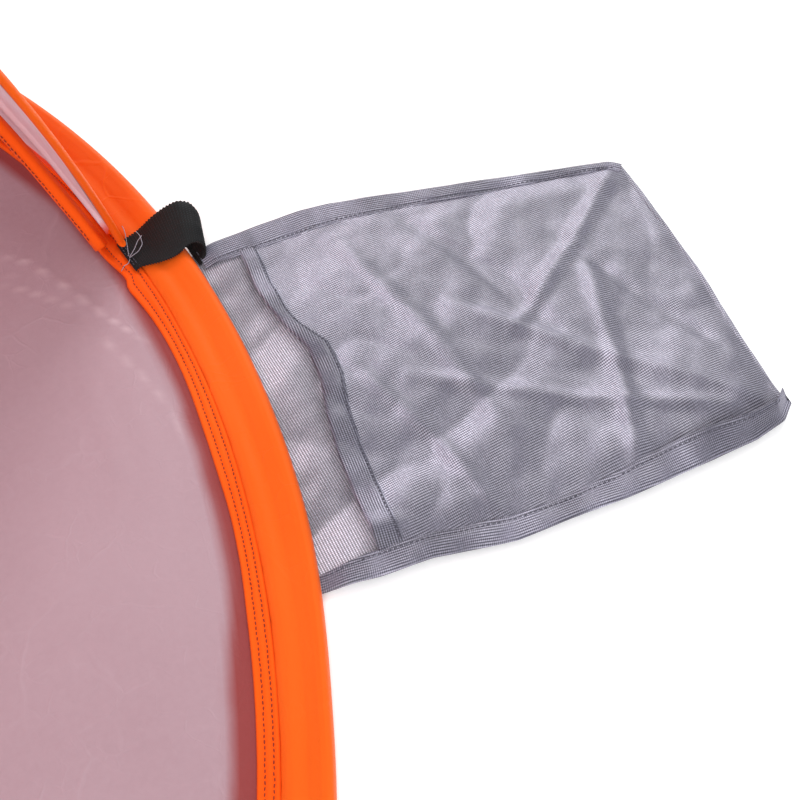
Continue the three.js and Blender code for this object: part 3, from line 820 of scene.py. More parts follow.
def floor_marks(x, y):
    """height of the creases and strength of the scuffs"""
    height, scuff = 0 * x, 0 * x
    for side in (1, -1):
        for line, width, depth in FOOT_CREASES:
            height = height + crease(x * side, y, line, width, depth)
        for line, width, strength in FOOT_SCUFFS:
            scuff = scuff + crease(x * side, y, line, width, strength)
    rng = np.random.default_rng(4)
    for k in range(60):
        line = random_line(rng, (0.8, 0.65), (0.02, 0.11), 0.4, (-0.5, 0, 0.5))
        scuff = scuff + crease(x, y, line, 0.0008, rng.uniform(0.15, 0.5))
    for k in range(34):
        line = random_line(rng, (0.75, 0.6), (0.08, 0.32), 0.25, (-0.5, -0.2, 0.2, 0.5))
        width = rng.uniform(0.0018, 0.006)
        depth = rng.choice([-1, 1]) * rng.uniform(0.0006, 0.0016)
        height = height + crease(x, y, line, width, depth)
    return height, scuff


def build_floor():
    rings = 88
    shrink = 1 - (np.linspace(0, 1, rings) ** 1.7) * 0.985  # closer rings towards the edge
    edge = hoop_point(ANGLE, -0.0045, 0.0)[..., :2]
    plan = edge * shrink[None, :, None]
    x, y = plan[..., 0], plan[..., 1]
    inset = np.linalg.norm(edge - plan, axis=-1)
    marks, scuff = floor_marks(x, y)
    height = (0.0022 + 0.0022 * fbm(x / 0.35, y / 0.35, 61, 3)
              + 0.0014 * fbm(x / 0.07, y / 0.11, 67, 3) + marks)
    # a soft gutter along the tape, then the cloth tucks under it
    gutter = 0.010 + 0.010 * (0.5 + noise(RUN / 0.17, 0.0, 71))
    height = height - 0.0022 * bell(inset, 0.016, gutter) * smooth(0.004, 0.012, inset)
    height = np.maximum(height, 0.0010)
    tuck = smooth(0.0, 0.012, inset)
    height = height * tuck + 0.00105 * (1 - tuck)
    # painted shade: a dark red-brown band on the floor beside the tape, standing in for the tape's shadow
    # and its orange reflection
    painted_shade_w = (0.0135 + 0.0085 * noise(RUN / 0.13, 0.0, 77)
                + 0.002 * noise(RUN / 0.02, 0.0, 79))
    margin_and_painted_shade = (1 - smooth(painted_shade_w, painted_shade_w + 0.009, inset)) * 0.90

    # top grid and its centre, then a flat underside rim and its centre
    points = np.concatenate([plan, height[..., None]], -1)
    centre = points[:, -1].mean(0)
    count = HOOP_STEPS * rings
    verts = np.concatenate([points.reshape(-1, 3), [centre],
                            points[:, 0] * [1, 1, 0] + [0, 0, 0.0003], [[0, 0, 0.0003]]])
    number = np.arange(HOOP_STEPS)
    outer, inner, rim = number * rings, number * rings + rings - 1, count + 1 + number
    top = quads(HOOP_STEPS, rings, True)
    top_centre = np.stack([inner, np.roll(inner, -1), np.full(HOOP_STEPS, count)], -1)
    side = np.stack([outer, np.roll(outer, -1), np.roll(rim, -1), rim], -1)[:, ::-1]
    under = np.stack([rim, np.full(HOOP_STEPS, count + 1 + HOOP_STEPS), np.roll(rim, -1)], -1)
    faces = [np.concatenate([top, side]), np.concatenate([top_centre, under])]
    uv = np.concatenate([plan.reshape(-1, 2), [centre[:2]], plan[:, 0], [[0, 0]]])
    attrs = {"margin_and_painted_shade": np.concatenate([margin_and_painted_shade.ravel(), [0], margin_and_painted_shade[:, 0], [0]]),
             "scuff": np.concatenate([np.clip(scuff, 0, 1).ravel(), np.zeros(HOOP_STEPS + 2)])}
    floor = make("floor_cloth", verts, faces, M_FLOOR, uv, attrs=attrs)
    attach(floor, "base")
    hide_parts("floor_panel")


build_floor()


# ------------------------------------------------------------------ arches
def arch_point(arch, angle):
    """point on an arch; angle runs from the right foot over the top to the left one"""
    x = arch["half_width"] * np.cos(angle) * (1 - LEAN * np.sin(angle))
    rise = arch["height"] * np.sin(angle)
    return np.stack([x, rise * math.cos(arch["angle"]),
                     AXIS_Z + rise * math.sin(arch["angle"])], -1)


def arch_frame(arch, angle):
    """point, and the directions along the arch, ahead (front) and outwards in its plane"""
    point = arch_point(arch, angle)
    along = unit(arch_point(arch, angle + 1e-4) - arch_point(arch, angle - 1e-4))
    square = [0, -math.sin(arch["angle"]), math.cos(arch["angle"])]
    ahead = np.broadcast_to(square, point.shape)
    return point, along, ahead, unit(np.cross(along, ahead))


# ------------------------------------------------------------------ canopy surface
def stretch(start, end, part, angle):
    """cloth between two lines, sagging inwards in the middle"""
    step = end - start
    span = np.linalg.norm(step, axis=-1, keepdims=True)
    point = start + step * part[..., None]
    inwards = point * [0, 0.35, 0.25] - point
    inwards /= np.maximum(np.linalg.norm(inwards, axis=-1, keepdims=True), 1e-9)
    return point + inwards * SAG * span * (4 * part * (1 - part) * np.sin(angle))[..., None]


def fan_share(points):
    """share of the front arch's fold that a canopy point takes"""
    depth, rise = points[..., 1], points[..., 2] - AXIS_Z
    angle = np.arctan2(rise, depth)
    angle = np.where(angle < -1.0, 0.0, np.maximum(angle, 0.0))
    back = REAR_SHARE * angle / REAR["angle"]
    roof = REAR_SHARE + (1 - REAR_SHARE) * (angle - REAR["angle"]) / (FRONT["angle"] - REAR["angle"])
    share = np.where(angle < REAR["angle"], back, roof)
    # cloth that lies against the rear arch turns with it
    radius = np.hypot(depth, rise)
    near = (1 - smooth(0.014, 0.050, radius * np.abs(angle - REAR["angle"])))
    near = near * smooth(0.04, 0.16, radius)
    return np.clip(share + (REAR_SHARE - share) * near, 0, 1)


def canopy_point(angle, station):
    """station is 0 at the front hem, 1 at the rear arch and 2 at the ground seam"""
    front = arch_point(FRONT, angle)
    rear, _, _, out = arch_frame(REAR, angle)
    rear = rear + out * 0.0072
    ground = hoop_point(angle, -0.0014, 0.0034)
    roof = stretch(front, rear, np.clip(station, 0, 1), angle)
    back = stretch(rear, ground, np.clip(station - 1, 0, 1), angle)
    return np.where((station <= 1)[..., None], roof, back)


FOOT_ANGLE = math.radians(0.55)
ANGLES = np.linspace(FOOT_ANGLE, math.pi - FOOT_ANGLE, 301)
STATIONS = np.concatenate([np.linspace(0, 1, 80), 1 + np.linspace(0, 1, 62)[1:]])
taut = canopy_point(ANGLES[:, None], STATIONS[None])
CANOPY_N = -grid_normals(taut)  # the grid's own normals point inwards
ARC = np.cumsum(np.linalg.norm(np.gradient(taut, axis=0), axis=-1), 0)
DOWN = np.cumsum(np.linalg.norm(np.gradient(taut, axis=1), axis=-1), 1)


def canopy_folds():
    """outward relief of the canopy cloth"""
    height = taut[..., 2]
    station = STATIONS[None]
    panel = np.where(station <= 1, station, station - 1)
    inside = smooth(0.0, 0.12, panel) * (1 - smooth(0.88, 1.0, panel))
    # tension folds that start at the feet and die out upwards
    phase = (station * 6.0 + 3.0 * noise(ARC / 0.25, station * 2.3, 81)) * math.pi
    fan = 0.0034 * np.exp(-height / 0.30) * np.sin(phase) * smooth(0.05, 0.20, height)
    billow = 0.006 * fbm(ARC / 0.55, DOWN / 0.40, 83, 3)
    soft = 0.0030 * fbm(ARC / 0.13, DOWN / 0.22, 89, 3)
    # puckers along the seams
    pucker = (0.0016 * np.sin(ARC / 0.021 + 2.0 * noise(ARC / 0.1, DOWN / 0.2, 87))
              * (np.exp(-panel / 0.07) + np.exp(-(1 - panel) / 0.07))
              * smooth(0.03, 0.2, height))
    return (fan + billow + soft) * inside + pucker


CANOPY = taut + CANOPY_N * canopy_folds()[..., None]
WINDOW_ANGLE = (math.radians(69.0), math.radians(111.0))
WINDOW_STATION = (1.31, 1.67)


def canopy_margin():
    """orange turn-up seen inside, along the ground seam and the front hem"""
    ground_gap = np.linalg.norm(CANOPY - CANOPY[:, -1:], axis=-1)
    hem_gap = np.linalg.norm(CANOPY - CANOPY[:, :1], axis=-1)
    from_foot = np.minimum(ARC, ARC[-1:] - ARC)
    turn_up = 0.0078 + 0.0100 * (1 - smooth(0.015, 0.060, from_foot))
    return np.maximum(1 - smooth(0, 0.0012, ground_gap - turn_up),
                      1 - smooth(0.004, 0.006, hem_gap))


def build_canopy():
    """both faces of the cloth, with the window cut out and every open edge closed"""
    rows, columns = CANOPY.shape[:2]
    count = rows * columns
    offset = -grid_normals(CANOPY) * 0.0007 / 2
    angle = 0.5 * (ANGLES[:-1] + ANGLES[1:])[:, None]
    station = 0.5 * (STATIONS[:-1] + STATIONS[1:])[None]
    window = ((angle > WINDOW_ANGLE[0]) & (angle < WINDOW_ANGLE[1])
              & (station > WINDOW_STATION[0]) & (station < WINDOW_STATION[1]))
    cells = quads(rows, columns).reshape(rows - 1, columns - 1, 4)[~window]
    outer, inner = cells[:, ::-1], cells + count
    # an edge that only one face uses is open
    edges = np.concatenate([outer[:, [k, (k + 1) % 4]] for k in range(4)])
    ends = np.sort(edges, 1)
    _, first, uses = np.unique(ends[:, 0].astype(np.int64) * count + ends[:, 1],
                               return_index=True, return_counts=True)
    start, end = edges[first[uses == 1]].T
    rim = np.stack([end, start, start + count, end + count], -1)
    faces = np.concatenate([outer, inner, rim])
    mat_index = np.repeat([0, 1, 0], [len(outer), len(inner), len(rim)])
    used = np.unique(faces)
    renumber = np.full(2 * count, -1)
    renumber[used] = np.arange(len(used))
    verts = np.concatenate([(CANOPY + offset).reshape(-1, 3), (CANOPY - offset).reshape(-1, 3)])
    verts = verts[used]
    canopy = make("canopy_cloth", verts, renumber[faces], [M_OUT, M_IN],
                  twice(grid_uv(ARC, DOWN), 2)[used], mat_index,
                  {"margin_and_painted_shade": twice(canopy_margin())[used]})
    set_blend(canopy, "base", "front_arch", fan_share(verts))
    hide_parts("roof_panel", "back_panel")


build_canopy()


def on_canopy(angle, station):
    """points and outward normals on the finished canopy"""
    row = np.interp(angle, ANGLES, np.arange(len(ANGLES)))
    column = np.interp(station, STATIONS, np.arange(len(STATIONS)))
    i = np.clip(np.floor(row).astype(int), 0, len(ANGLES) - 2)
    j = np.clip(np.floor(column).astype(int), 0, len(STATIONS) - 2)
    row_part, column_part = (row - i)[..., None], (column - j)[..., None]

    def take(grid):
        near = grid[i, j] * (1 - row_part) + grid[i + 1, j] * row_part
        far = grid[i, j + 1] * (1 - row_part) + grid[i + 1, j + 1] * row_part
        return near * (1 - column_part) + far * column_part

    return take(CANOPY), unit(take(CANOPY_N))


# ------------------------------------------------------------------ window and its binding
# (across, above) as shares of the tape's width and thickness
BINDING_PROFILE = [(-0.5, 0.0), (-0.46, 0.8), (-0.3, 1.0), (0, 0.9), (0.3, 1.0), (0.46, 0.8),
                   (0.5, 0.0), (0.3, -0.6), (-0.3, -0.6)]


def build_window():
    angle, station = np.meshgrid(
        np.linspace(WINDOW_ANGLE[0] - 0.012, WINDOW_ANGLE[1] + 0.012, 60),
        np.linspace(WINDOW_STATION[0] - 0.02, WINDOW_STATION[1] + 0.02, 40), indexing="ij")
    points, normal = on_canopy(angle, station)
    uv = grid_uv(np.interp(angle, ANGLES, ARC[:, 100]), np.interp(station, STATIONS, DOWN[150]))
    window = net_sheet("rear_window", points - normal * 0.0022, M_NET, uv,
                       np.full(angle.shape, 0.5))
    set_blend(window, "base", "front_arch", fan_share(coords(window)))
    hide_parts("rear_window_mesh")


def build_binding():
    """flat tape round the window, on a rounded rectangle"""
    width, thick, lift = 0.026, 0.0014, 0.0018
    turn = np.linspace(0, 2 * np.pi, 240, endpoint=False)

    def around(limits, swing):
        squared = np.sign(swing) * np.abs(swing) ** 0.28
        return (limits[0] + limits[1]) / 2 + (limits[1] - limits[0]) / 2 * squared

    line, normal = on_canopy(around(WINDOW_ANGLE, np.cos(turn)),
                             around(WINDOW_STATION, np.sin(turn)))
    side = np.cross(normal, unit(np.roll(line, -1, 0) - np.roll(line, 1, 0)))
    points = np.stack([line + side * width * across + normal * (lift + thick * above)
                       for across, above in BINDING_PROFILE], 1)
    sides = len(BINDING_PROFILE)
    uv = grid_uv(lengths(line)[:, None], np.arange(sides) * width / 6)
    binding = make("window_binding", points, quads(len(line), sides, True, True), M_BAND, uv,
                   attrs={"margin_and_painted_shade": np.ones(len(line) * sides)})
    face_outwards(binding)
    set_blend(binding, "base", "front_arch", fan_share(coords(binding)))
    return line, normal, side


def build_canopy_stitching(line, normal, side):
    parts = []
    closed_normal = np.concatenate([normal, normal[:1]])
    for offset, seed in ((-0.0088, 83), (0.0088, 99)):
        row = line + side * offset + normal * 0.0034
        parts.append(stitches(np.concatenate([row, row[:1]]), closed_normal, seed))
    # one row on each side of the rear arch
    angle = np.linspace(math.radians(2.2), math.pi - math.radians(2.2), 1500)
    for station, seed in ((0.985, 98), (1.018, 101)):
        row, row_normal = on_canopy(angle, np.full_like(angle, station))
        parts.append(stitches(row + row_normal * 0.0006, row_normal, seed, pitch=0.0031))
    verts, faces = merge(parts)
    rows = make("canopy_stitching", verts, faces, M_THREAD)
    set_blend(rows, "base", "front_arch", fan_share(verts))


build_window()
build_canopy_stitching(*build_binding())

# ------------------------------------------------------------------ cloth rolled on the arches
# (outwards, ahead) in mm: a flat fold, crisp at its free edge, with a stitch furrow behind
FRONT_HEM = mm([(0.2, 4.3), (1.3, 3.7), (2.1, 2.2), (2.3, 0.2), (1.9, -1.8), (1.0, -3.4),
                (0.7, -4.6), (0.9, -6.0), (0.5, -7.3), (-0.5, -7.4), (-1.0, -6.2), (-0.8, -4.6),
                (-1.2, -3.3), (-2.1, -1.7), (-2.4, 0.3), (-2.1, 2.4), (-1.0, 3.9)])
# an oval flattened on its outer side
REAR_COVER = mm([(5.2 * math.cos(turn) - (1.0 if math.cos(turn) > 0.2 else 0.0),
                  6.4 * math.sin(turn))
                 for turn in np.linspace(0, 2 * np.pi, 18, endpoint=False)])


def arch_cover(name, arch, body, foot_z, count, profile, mat, seed, replaced):
    """tube of cloth round an arch, from foot_z above one foot to the same above the other"""
    start = math.asin(foot_z / arch["height"])
    point, along, ahead, out = arch_frame(arch, np.linspace(start, math.pi - start, count))
    run = lengths(point)[:, None]
    wobble = 1 + 0.10 * fbm(run / 0.03, profile[:, 0] / 0.004, seed, 2)
    rings = (point[:, None] + out[:, None] * (profile[:, 0] * wobble)[..., None]
             + ahead[:, None] * (profile[:, 1] * wobble)[..., None])
    cover, _ = capped_strip(name, rings, mat, grid_uv(run, lengths(profile)),
                            "margin_and_painted_shade", np.zeros(count), 0)
    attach(cover, body)
    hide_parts(replaced)
    return point, ahead, out


def arch_stitching(name, parts, body):
    rows = make(name, *merge(parts), M_THREAD)
    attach(rows, body)


point, ahead, out = arch_cover("front_hem", FRONT, "front_arch", 0.004, 620, FRONT_HEM, M_OUT,
                               seed=101, replaced="front_arch_sleeve")
arch_stitching("front_hem_stitching",
               [stitches(point + ahead * -0.0047 + out * side * 0.00105, out * side,
                         seed=120 + side, pitch=0.0029, radius=0.00032) for side in (1, -1)],
               "front_arch")
arch_cover("rear_arch_cover", REAR, "rear_arch", 0.005, 520, REAR_COVER, M_BAND,
           seed=131, replaced="rear_arch_sleeve")
rear_angle = np.linspace(math.radians(0.8), math.pi - math.radians(0.8), 1500)
point, _, ahead, out = arch_frame(REAR, rear_angle)
arch_stitching("rear_arch_stitching",
               [stitches(point + out * 0.0054 * math.cos(turn) + ahead * 0.0066 * math.sin(turn),
                         out * math.cos(turn) + ahead * math.sin(turn),
                         seed=140 + k, pitch=0.0029, radius=0.00030)
                for k, turn in enumerate((math.pi - 0.62, math.pi + 0.62))],
               "rear_arch")


# ------------------------------------------------------------------ stations on the hoop
class Station:
    """local frame at the hoop's outer edge: along the hoop, outwards and up.
    direction 1 runs anticlockwise from above, -1 clockwise."""

    def __init__(self, angle, direction):
        normal = normal_at(angle)
        self.angle, self.direction = angle, direction
        self.origin = hoop_point(angle, SLEEVE_W, 0.0)
        self.out = np.append(normal, 0)
        self.along = np.array([-normal[1] * direction, normal[0] * direction, 0.0])

    def place(self, along, out, z):
        points = self.origin + self.along * along[..., None] + self.out * out[..., None]
        points[..., 2] = z
        return points

    def edge(self, along):
        """how far out the hoop's outer edge is at a distance along"""
        angle = np.full(along.shape, self.angle)
        for _ in range(14):
            offset = hoop_point(angle, SLEEVE_W, 0.0) - self.origin
            angle = angle + self.direction * (along - offset @ self.along) / 0.8
        return (hoop_point(angle, SLEEVE_W, 0.0) - self.origin) @ self.out

    def along_of(self, points):
        return (points - self.origin) @ self.along

    def out_of(self, points):
        return (points - self.origin) @ self.out

    def pocket_share(self, points):
        """0 where a pocket is sewn to the hoop, 1 just outside it"""
        gap = self.out_of(points) - self.edge(self.along_of(points))
        return smooth(0.0005, 0.020, gap)


# ------------------------------------------------------------------ peg loops
LOOP_W = 0.025
# The strap's two edges, from the seam out over the hoop, round the free end and back under.
# (outwards from the seam, along the hoop, up) in mm
LOOP_EDGE_A = mm([(-5, 0, 4.4), (-1.5, 0, 5.9), (3, 0.3, 7.0), (10, 1.5, 9.8), (19, 3.8, 16.8),
                  (29, 6.2, 22.6), (37.5, 8.6, 25.2), (43.5, 12.4, 23.4), (46, 16.8, 17.4),
                  (44.5, 20.5, 10.5), (40, 22.5, 6.0), (34.5, 23.5, 3.2), (30.2, 24, 1.8)])
LOOP_EDGE_B = mm([(-5, 25, 4.4), (-1.5, 25, 5.9), (3, 27.5, 7.0), (9, 31.5, 8.9),
                  (17, 34.6, 11.0), (23, 35.4, 13.0), (28.5, 34.6, 15.2), (33.6, 35.2, 15.0),
                  (37.0, 36.6, 12.0), (37.6, 38.5, 8.2), (35.6, 40.5, 5.0), (32.6, 42.0, 2.8),
                  (30.0, 42.5, 1.6)])
PEG_ANGLE = math.asin(-0.006 / HALF_Y)
# name: (angle, sideways lean from 0 to 1, mirror)
PEGS = {
    "side_right": (PEG_ANGLE, 1.0, 1),
    "side_left": (math.pi - PEG_ANGLE, 0.8, -1),
    "front_right": (math.radians(-52), 0.35, 1),
    "front_left": (math.radians(-128), 0.3, -1),
    "front_centre": (math.radians(-90), 0.15, 1),
    "rear_centre": (math.radians(90), 0.25, -1),
}


def peg_loop(name, angle, lean, mirror):
    """strap over the sleeve; its free end stands off the hoop and doubles back under it"""
    station = Station(angle, 1)
    count, samples = 230, 36
    edges = [soften(edge, count, 25) for edge in (LOOP_EDGE_A, LOOP_EDGE_B)]
    middle = (edges[0] + edges[1]) / 2
    for k, straight_along in enumerate((0.0, LOOP_W)):
        straight = np.stack([middle[:, 0], np.full(count, straight_along), middle[:, 2] * 0.9], -1)
        edges[k] = straight + (edges[k] - straight) * lean
    run = lengths((edges[0] + edges[1]) / 2)[:, None]
    across = np.linspace(0, 1, samples)
    part = np.linspace(0, 1, count)[:, None]
    local = (edges[0][:, None] * (1 - across)[None, :, None]
             + edges[1][:, None] * across[None, :, None])
    bow = (0.0016 * np.sin(np.pi * across) * smooth(0.25, 0.5, part)
           * (1 - smooth(0.75, 1.0, part)))
    local[..., 2] += bow + (0.0012 * fbm(part * 4, across * 2.5 + lean * 3, 201, 2)
                            * smooth(0.1, 0.3, part))
    points = station.place((LOOP_W / 2 - local[..., 1]) * mirror, local[..., 0] - SLEEVE_W,
                           local[..., 2])
    normal = grid_normals(points)
    if normal[10, 18, 2] < 0:
        normal = -normal
    # herringbone relief: short floats that change direction every few millimetres
    offset = (across - 0.5) * LOOP_W
    zigzag = np.abs(np.mod(offset / 0.0052, 2) - 1) * 0.0052
    rib = 0.00017 * np.sin((run + zigzag * 1.1) * 2 * np.pi / 0.00165)
    off_centre = np.abs(across - 0.5)
    scallop = (0.0004 * np.sin(run * 2 * np.pi / 0.0019)
               * smooth(0.45, 0.5, off_centre) * np.sign(across - 0.5))
    points = points + unit(np.gradient(points, axis=1)) * scallop[..., None]
    half = (0.0007 * (1 - 0.5 * smooth(0.44, 0.5, off_centre)) + rib)[..., None]
    verts, faces = two_sided(points + normal * half, points - normal * half)
    verts[:, 2] = np.maximum(verts[:, 2], 0.0004)
    loop = make("peg_loop_" + name, verts, faces, M_WEB, twice(grid_uv(run, offset), 2))
    face_outwards(loop)
    set_blend(loop, "base", "peg_" + name, smooth(0.0005, 0.006, station.out_of(verts)))
    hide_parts("peg_strap_" + name, "peg_eye_" + name)

    parts = [stitches(points[j, 2:-2] + normal[j, 2:-2] * 0.0010, normal[j, 2:-2],
                      seed=211 + j, pitch=0.0026, radius=0.00022) for j in (8, 17)]
    rows = make("peg_loop_stitching_" + name, *merge(parts), M_THREAD_GREY)
    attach(rows, "base")


for peg_name, peg in PEGS.items():
    peg_loop(peg_name, *peg)

# ------------------------------------------------------------------ loops on the front arch
GUY_W = 0.0145
# (outwards, ahead) in mm
GUY_PATH = mm([(3.3, -4.6), (9, -5.4), (15, -5.4), (20, -3.9), (22.0, 0), (20, 3.9), (15, 5.4),
               (9, 5.4), (3.3, 4.6)])


def guy_loop(side, angle):
    point, along, ahead, out = arch_frame(FRONT, angle)
    lie = resample(GUY_PATH, 110, 13, dict(mode="edge"))
    path = point + out * lie[:, :1] + ahead * lie[:, 1:]
    across = np.linspace(-0.5, 0.5, 20)
    offset = across * GUY_W
    run = lengths(path)[:, None]
    points = path[:, None] + along * offset[None, :, None]
    normal = grid_normals(points)
    wave = np.sin(run * 2 * np.pi / 0.0017)
    rib = 0.00016 * wave * np.sign(np.sin(offset * 2 * np.pi / 0.0030 + run * 900))
    scallop = 0.00035 * wave * (np.abs(offset) > 0.47 * GUY_W) * np.sign(across)
    warp = 0.0006 * fbm(run / 0.02, offset / 0.02, 231, 2)
    half = 0.0013 / 2 * (1 - 0.55 * smooth(0.44, 0.5, np.abs(across))) + rib
    points = points + along * scallop[..., None]
    verts, faces = two_sided(points + normal * (half + warp)[..., None],
                             points - normal * (half - warp)[..., None])
    uv = twice(grid_uv(run, offset), 2)
    loop = make("guy_loop_web_" + side, verts, faces, M_WEB, uv)
    face_outwards(loop)
    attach(loop, "guy_" + side)
    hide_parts("guy_loop_" + side)


guy_loop("right", math.radians(50))
guy_loop("left", math.radians(130))

# ------------------------------------------------------------------ loose threads, right foot
# (outwards from the seam, along the hoop towards the rear, up) in mm
THREAD_ENDS = [
    [(-3.5, -1.5, 6.8), (-1, 3.5, 11.5), (1.5, 9.5, 13.5), (3, 15, 12.5), (4, 21, 8.5)],
    [(-3.5, -2.5, 6.8), (1.5, -1.5, 10.5), (5.5, 1.5, 12.0), (9.5, 3.0, 13.0)],
    [(-3.8, -3.0, 6.8), (2.5, -4.5, 10.0), (7.0, -2.0, 11.5), (8.5, 3.5, 13.0),
     (8.0, 7.5, 13.5)],
    [(-4.0, -4.0, 6.6), (-6.5, -6.0, 6.0), (-9.0, -5.0, 4.8), (-12.5, -7.5, 4.4)]]


def build_thread_ends():
    station = Station(PEG_ANGLE, 1)
    paths = []
    for keys in THREAD_ENDS:
        path = soften(mm(keys), 40, 9)
        paths.append(station.place(path[:, 1], path[:, 0] - SLEEVE_W, path[:, 2]))
    ends = make("thread_ends", *round_threads(paths, radius=0.00024, sides=5), M_THREAD_PALE)
    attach(ends, "base")


build_thread_ends()

# ------------------------------------------------------------------ sand pockets
# Outlines in mm as (along the hoop away from the arch foot, outwards from the hoop's edge).
# The near side is the one closer to the arch foot.
MOUTH = mm([(-114, 17.3), (-81.5, 17.4), (-62.4, 20), (-41.7, 25.7), (-25.6, 32.0),
            (-1.2, 31.3), (22.3, 26.5), (45.7, 23.9), (69, 23.4), (98, 23.8), (112, 24)])
NEAR_SIDE = mm([(-123.4, -8), (-125.2, 4.5), (-126, 21), (-127.6, 41.6), (-128.5, 62),
                (-127.2, 82), (-119.5, 122), (-111, 159), (-102.3, 205), (-95, 245),
                (-91.5, 262), (-86, 270)])
OUTER_SIDE = mm([(-86, 270), (-76, 271), (-25, 271.5), (8, 272.4), (60, 270.5), (100, 270),
                 (113, 271)])
FAR_SIDE = mm([(118.5, -12), (122, 20.5), (122.6, 49), (126.9, 74), (130, 95), (129.6, 120),
               (129.8, 161), (127.6, 202), (125.2, 241), (121, 262), (113, 271)])
# hem widths in mm as (outwards, width)
NEAR_HEM_W = mm([(-8, 14), (10, 15.5), (30, 16.5), (60, 18.5), (85, 16.5), (122, 13),
                 (155, 10.5), (200, 8), (240, 6.5), (270, 6)])
FAR_HEM_W = mm([(-12, 9), (16, 13.5), (35, 13.8), (62, 12.5), (90, 13), (125, 12.5),
                (150, 14.5), (176, 15.5), (220, 17), (270, 16)])
OUTER_HEM_W = mm([(0, 4.2)])
# mouth strip: (along, width) in mm
STRIP_W = mm([(-110, 10.5), (-78, 10.5), (-62, 9.0), (-50, 7.0), (-36, 9.5), (-20, 13.0),
              (20, 13.2), (60, 14.0), (105, 14.0)])
# mouth strip: (along in metres, lean towards the light)
STRIP_LIT = np.array([(-0.110, 0.34), (-0.082, 0.30), (-0.072, 0.44), (-0.060, 0.12),
                      (-0.048, 0.30), (-0.030, 0.22), (-0.010, 0.12), (0.030, 0.10),
                      (0.052, 0.24), (0.066, 0.52), (0.105, 0.50)])
# (share of the width, height in metres)
STRIP_PROFILE = np.array([(0.00, -0.0004), (-0.05, 0.0006), (-0.02, 0.0018), (0.12, 0.0023),
                          (0.35, 0.0021), (0.60, 0.0020), (0.80, 0.0022), (0.90, 0.0012),
                          (1.0, 0.0009), (1.03, 0.0002), (0.9, -0.0001), (0.5, -0.0003)])
HEM_PROFILE = np.array([(-0.06, 0.0002), (-0.07, 0.0011), (-0.02, 0.0021), (0.15, 0.0025),
                        (0.42, 0.0021), (0.70, 0.0020), (0.80, 0.0012), (0.96, 0.0016),
                        (1.0, 0.0008), (0.97, 0.0001), (0.5, -0.0002)])
# creases that fan from the corners: (start, end, width, height)
POCKET_CREASES = [
    ((0.104, 0.262), (-0.02, 0.120), 0.0055, 0.0030),
    ((0.098, 0.240), (0.02, 0.080), 0.0045, 0.0022),
    ((-0.088, 0.262), (0.01, 0.150), 0.0050, 0.0024),
    ((-0.110, 0.110), (0.03, 0.180), 0.0060, -0.0018),
    ((0.120, 0.170), (-0.03, 0.215), 0.0055, 0.0020),
    ((-0.100, 0.070), (0.07, 0.120), 0.0060, 0.0020),
    ((0.115, 0.090), (-0.01, 0.052), 0.0040, 0.0018),
    ((0.060, 0.255), (-0.05, 0.20), 0.0040, -0.0014)]
# (tag, side, hem width, which way is inwards, seed step)
HEMS = (("rear", NEAR_SIDE, NEAR_HEM_W, -1, 1), ("front", FAR_SIDE, FAR_HEM_W, 1, 2),
        ("outer", OUTER_SIDE, OUTER_HEM_W, -1, 3))
POCKET_STEPS = ((100, 116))  # along the hoop, outwards
CLOTH_Z = 0.0021                                       # mean height of the cloth
DIP = -0.0012                                          # deepest dip of the shared lie
SIDE_INSET = 0.012                                     # front layer's inset at each side


def coons(inner, near, outer, far):
    """grid between four lines; inner and outer run near to far, the sides run outwards"""
    part = np.linspace(0, 1, len(inner))[:, None, None]
    reach = np.linspace(0, 1, len(near))[None, :, None]
    between = (1 - reach) * inner[:, None] + reach * outer[:, None]
    sideways = (1 - part) * near[None] + part * far[None]
    corners = ((1 - part) * (1 - reach) * inner[0] + part * (1 - reach) * inner[-1]
               + (1 - part) * reach * outer[0] + part * reach * outer[-1])
    return between + sideways - corners


def light_lean(along, out, height, strength):
    """lean of the cloth along one slanting direction, 0 to 1"""
    def slope(coord, axis):
        step = np.gradient(coord, axis=axis)
        return np.gradient(height, axis=axis) / np.maximum(np.abs(step), 1e-5) * np.sign(step)

    return np.clip(0.5 + strength * (0.72 * slope(along, 0) + 0.70 * slope(out, 1)), 0.0, 1.0)


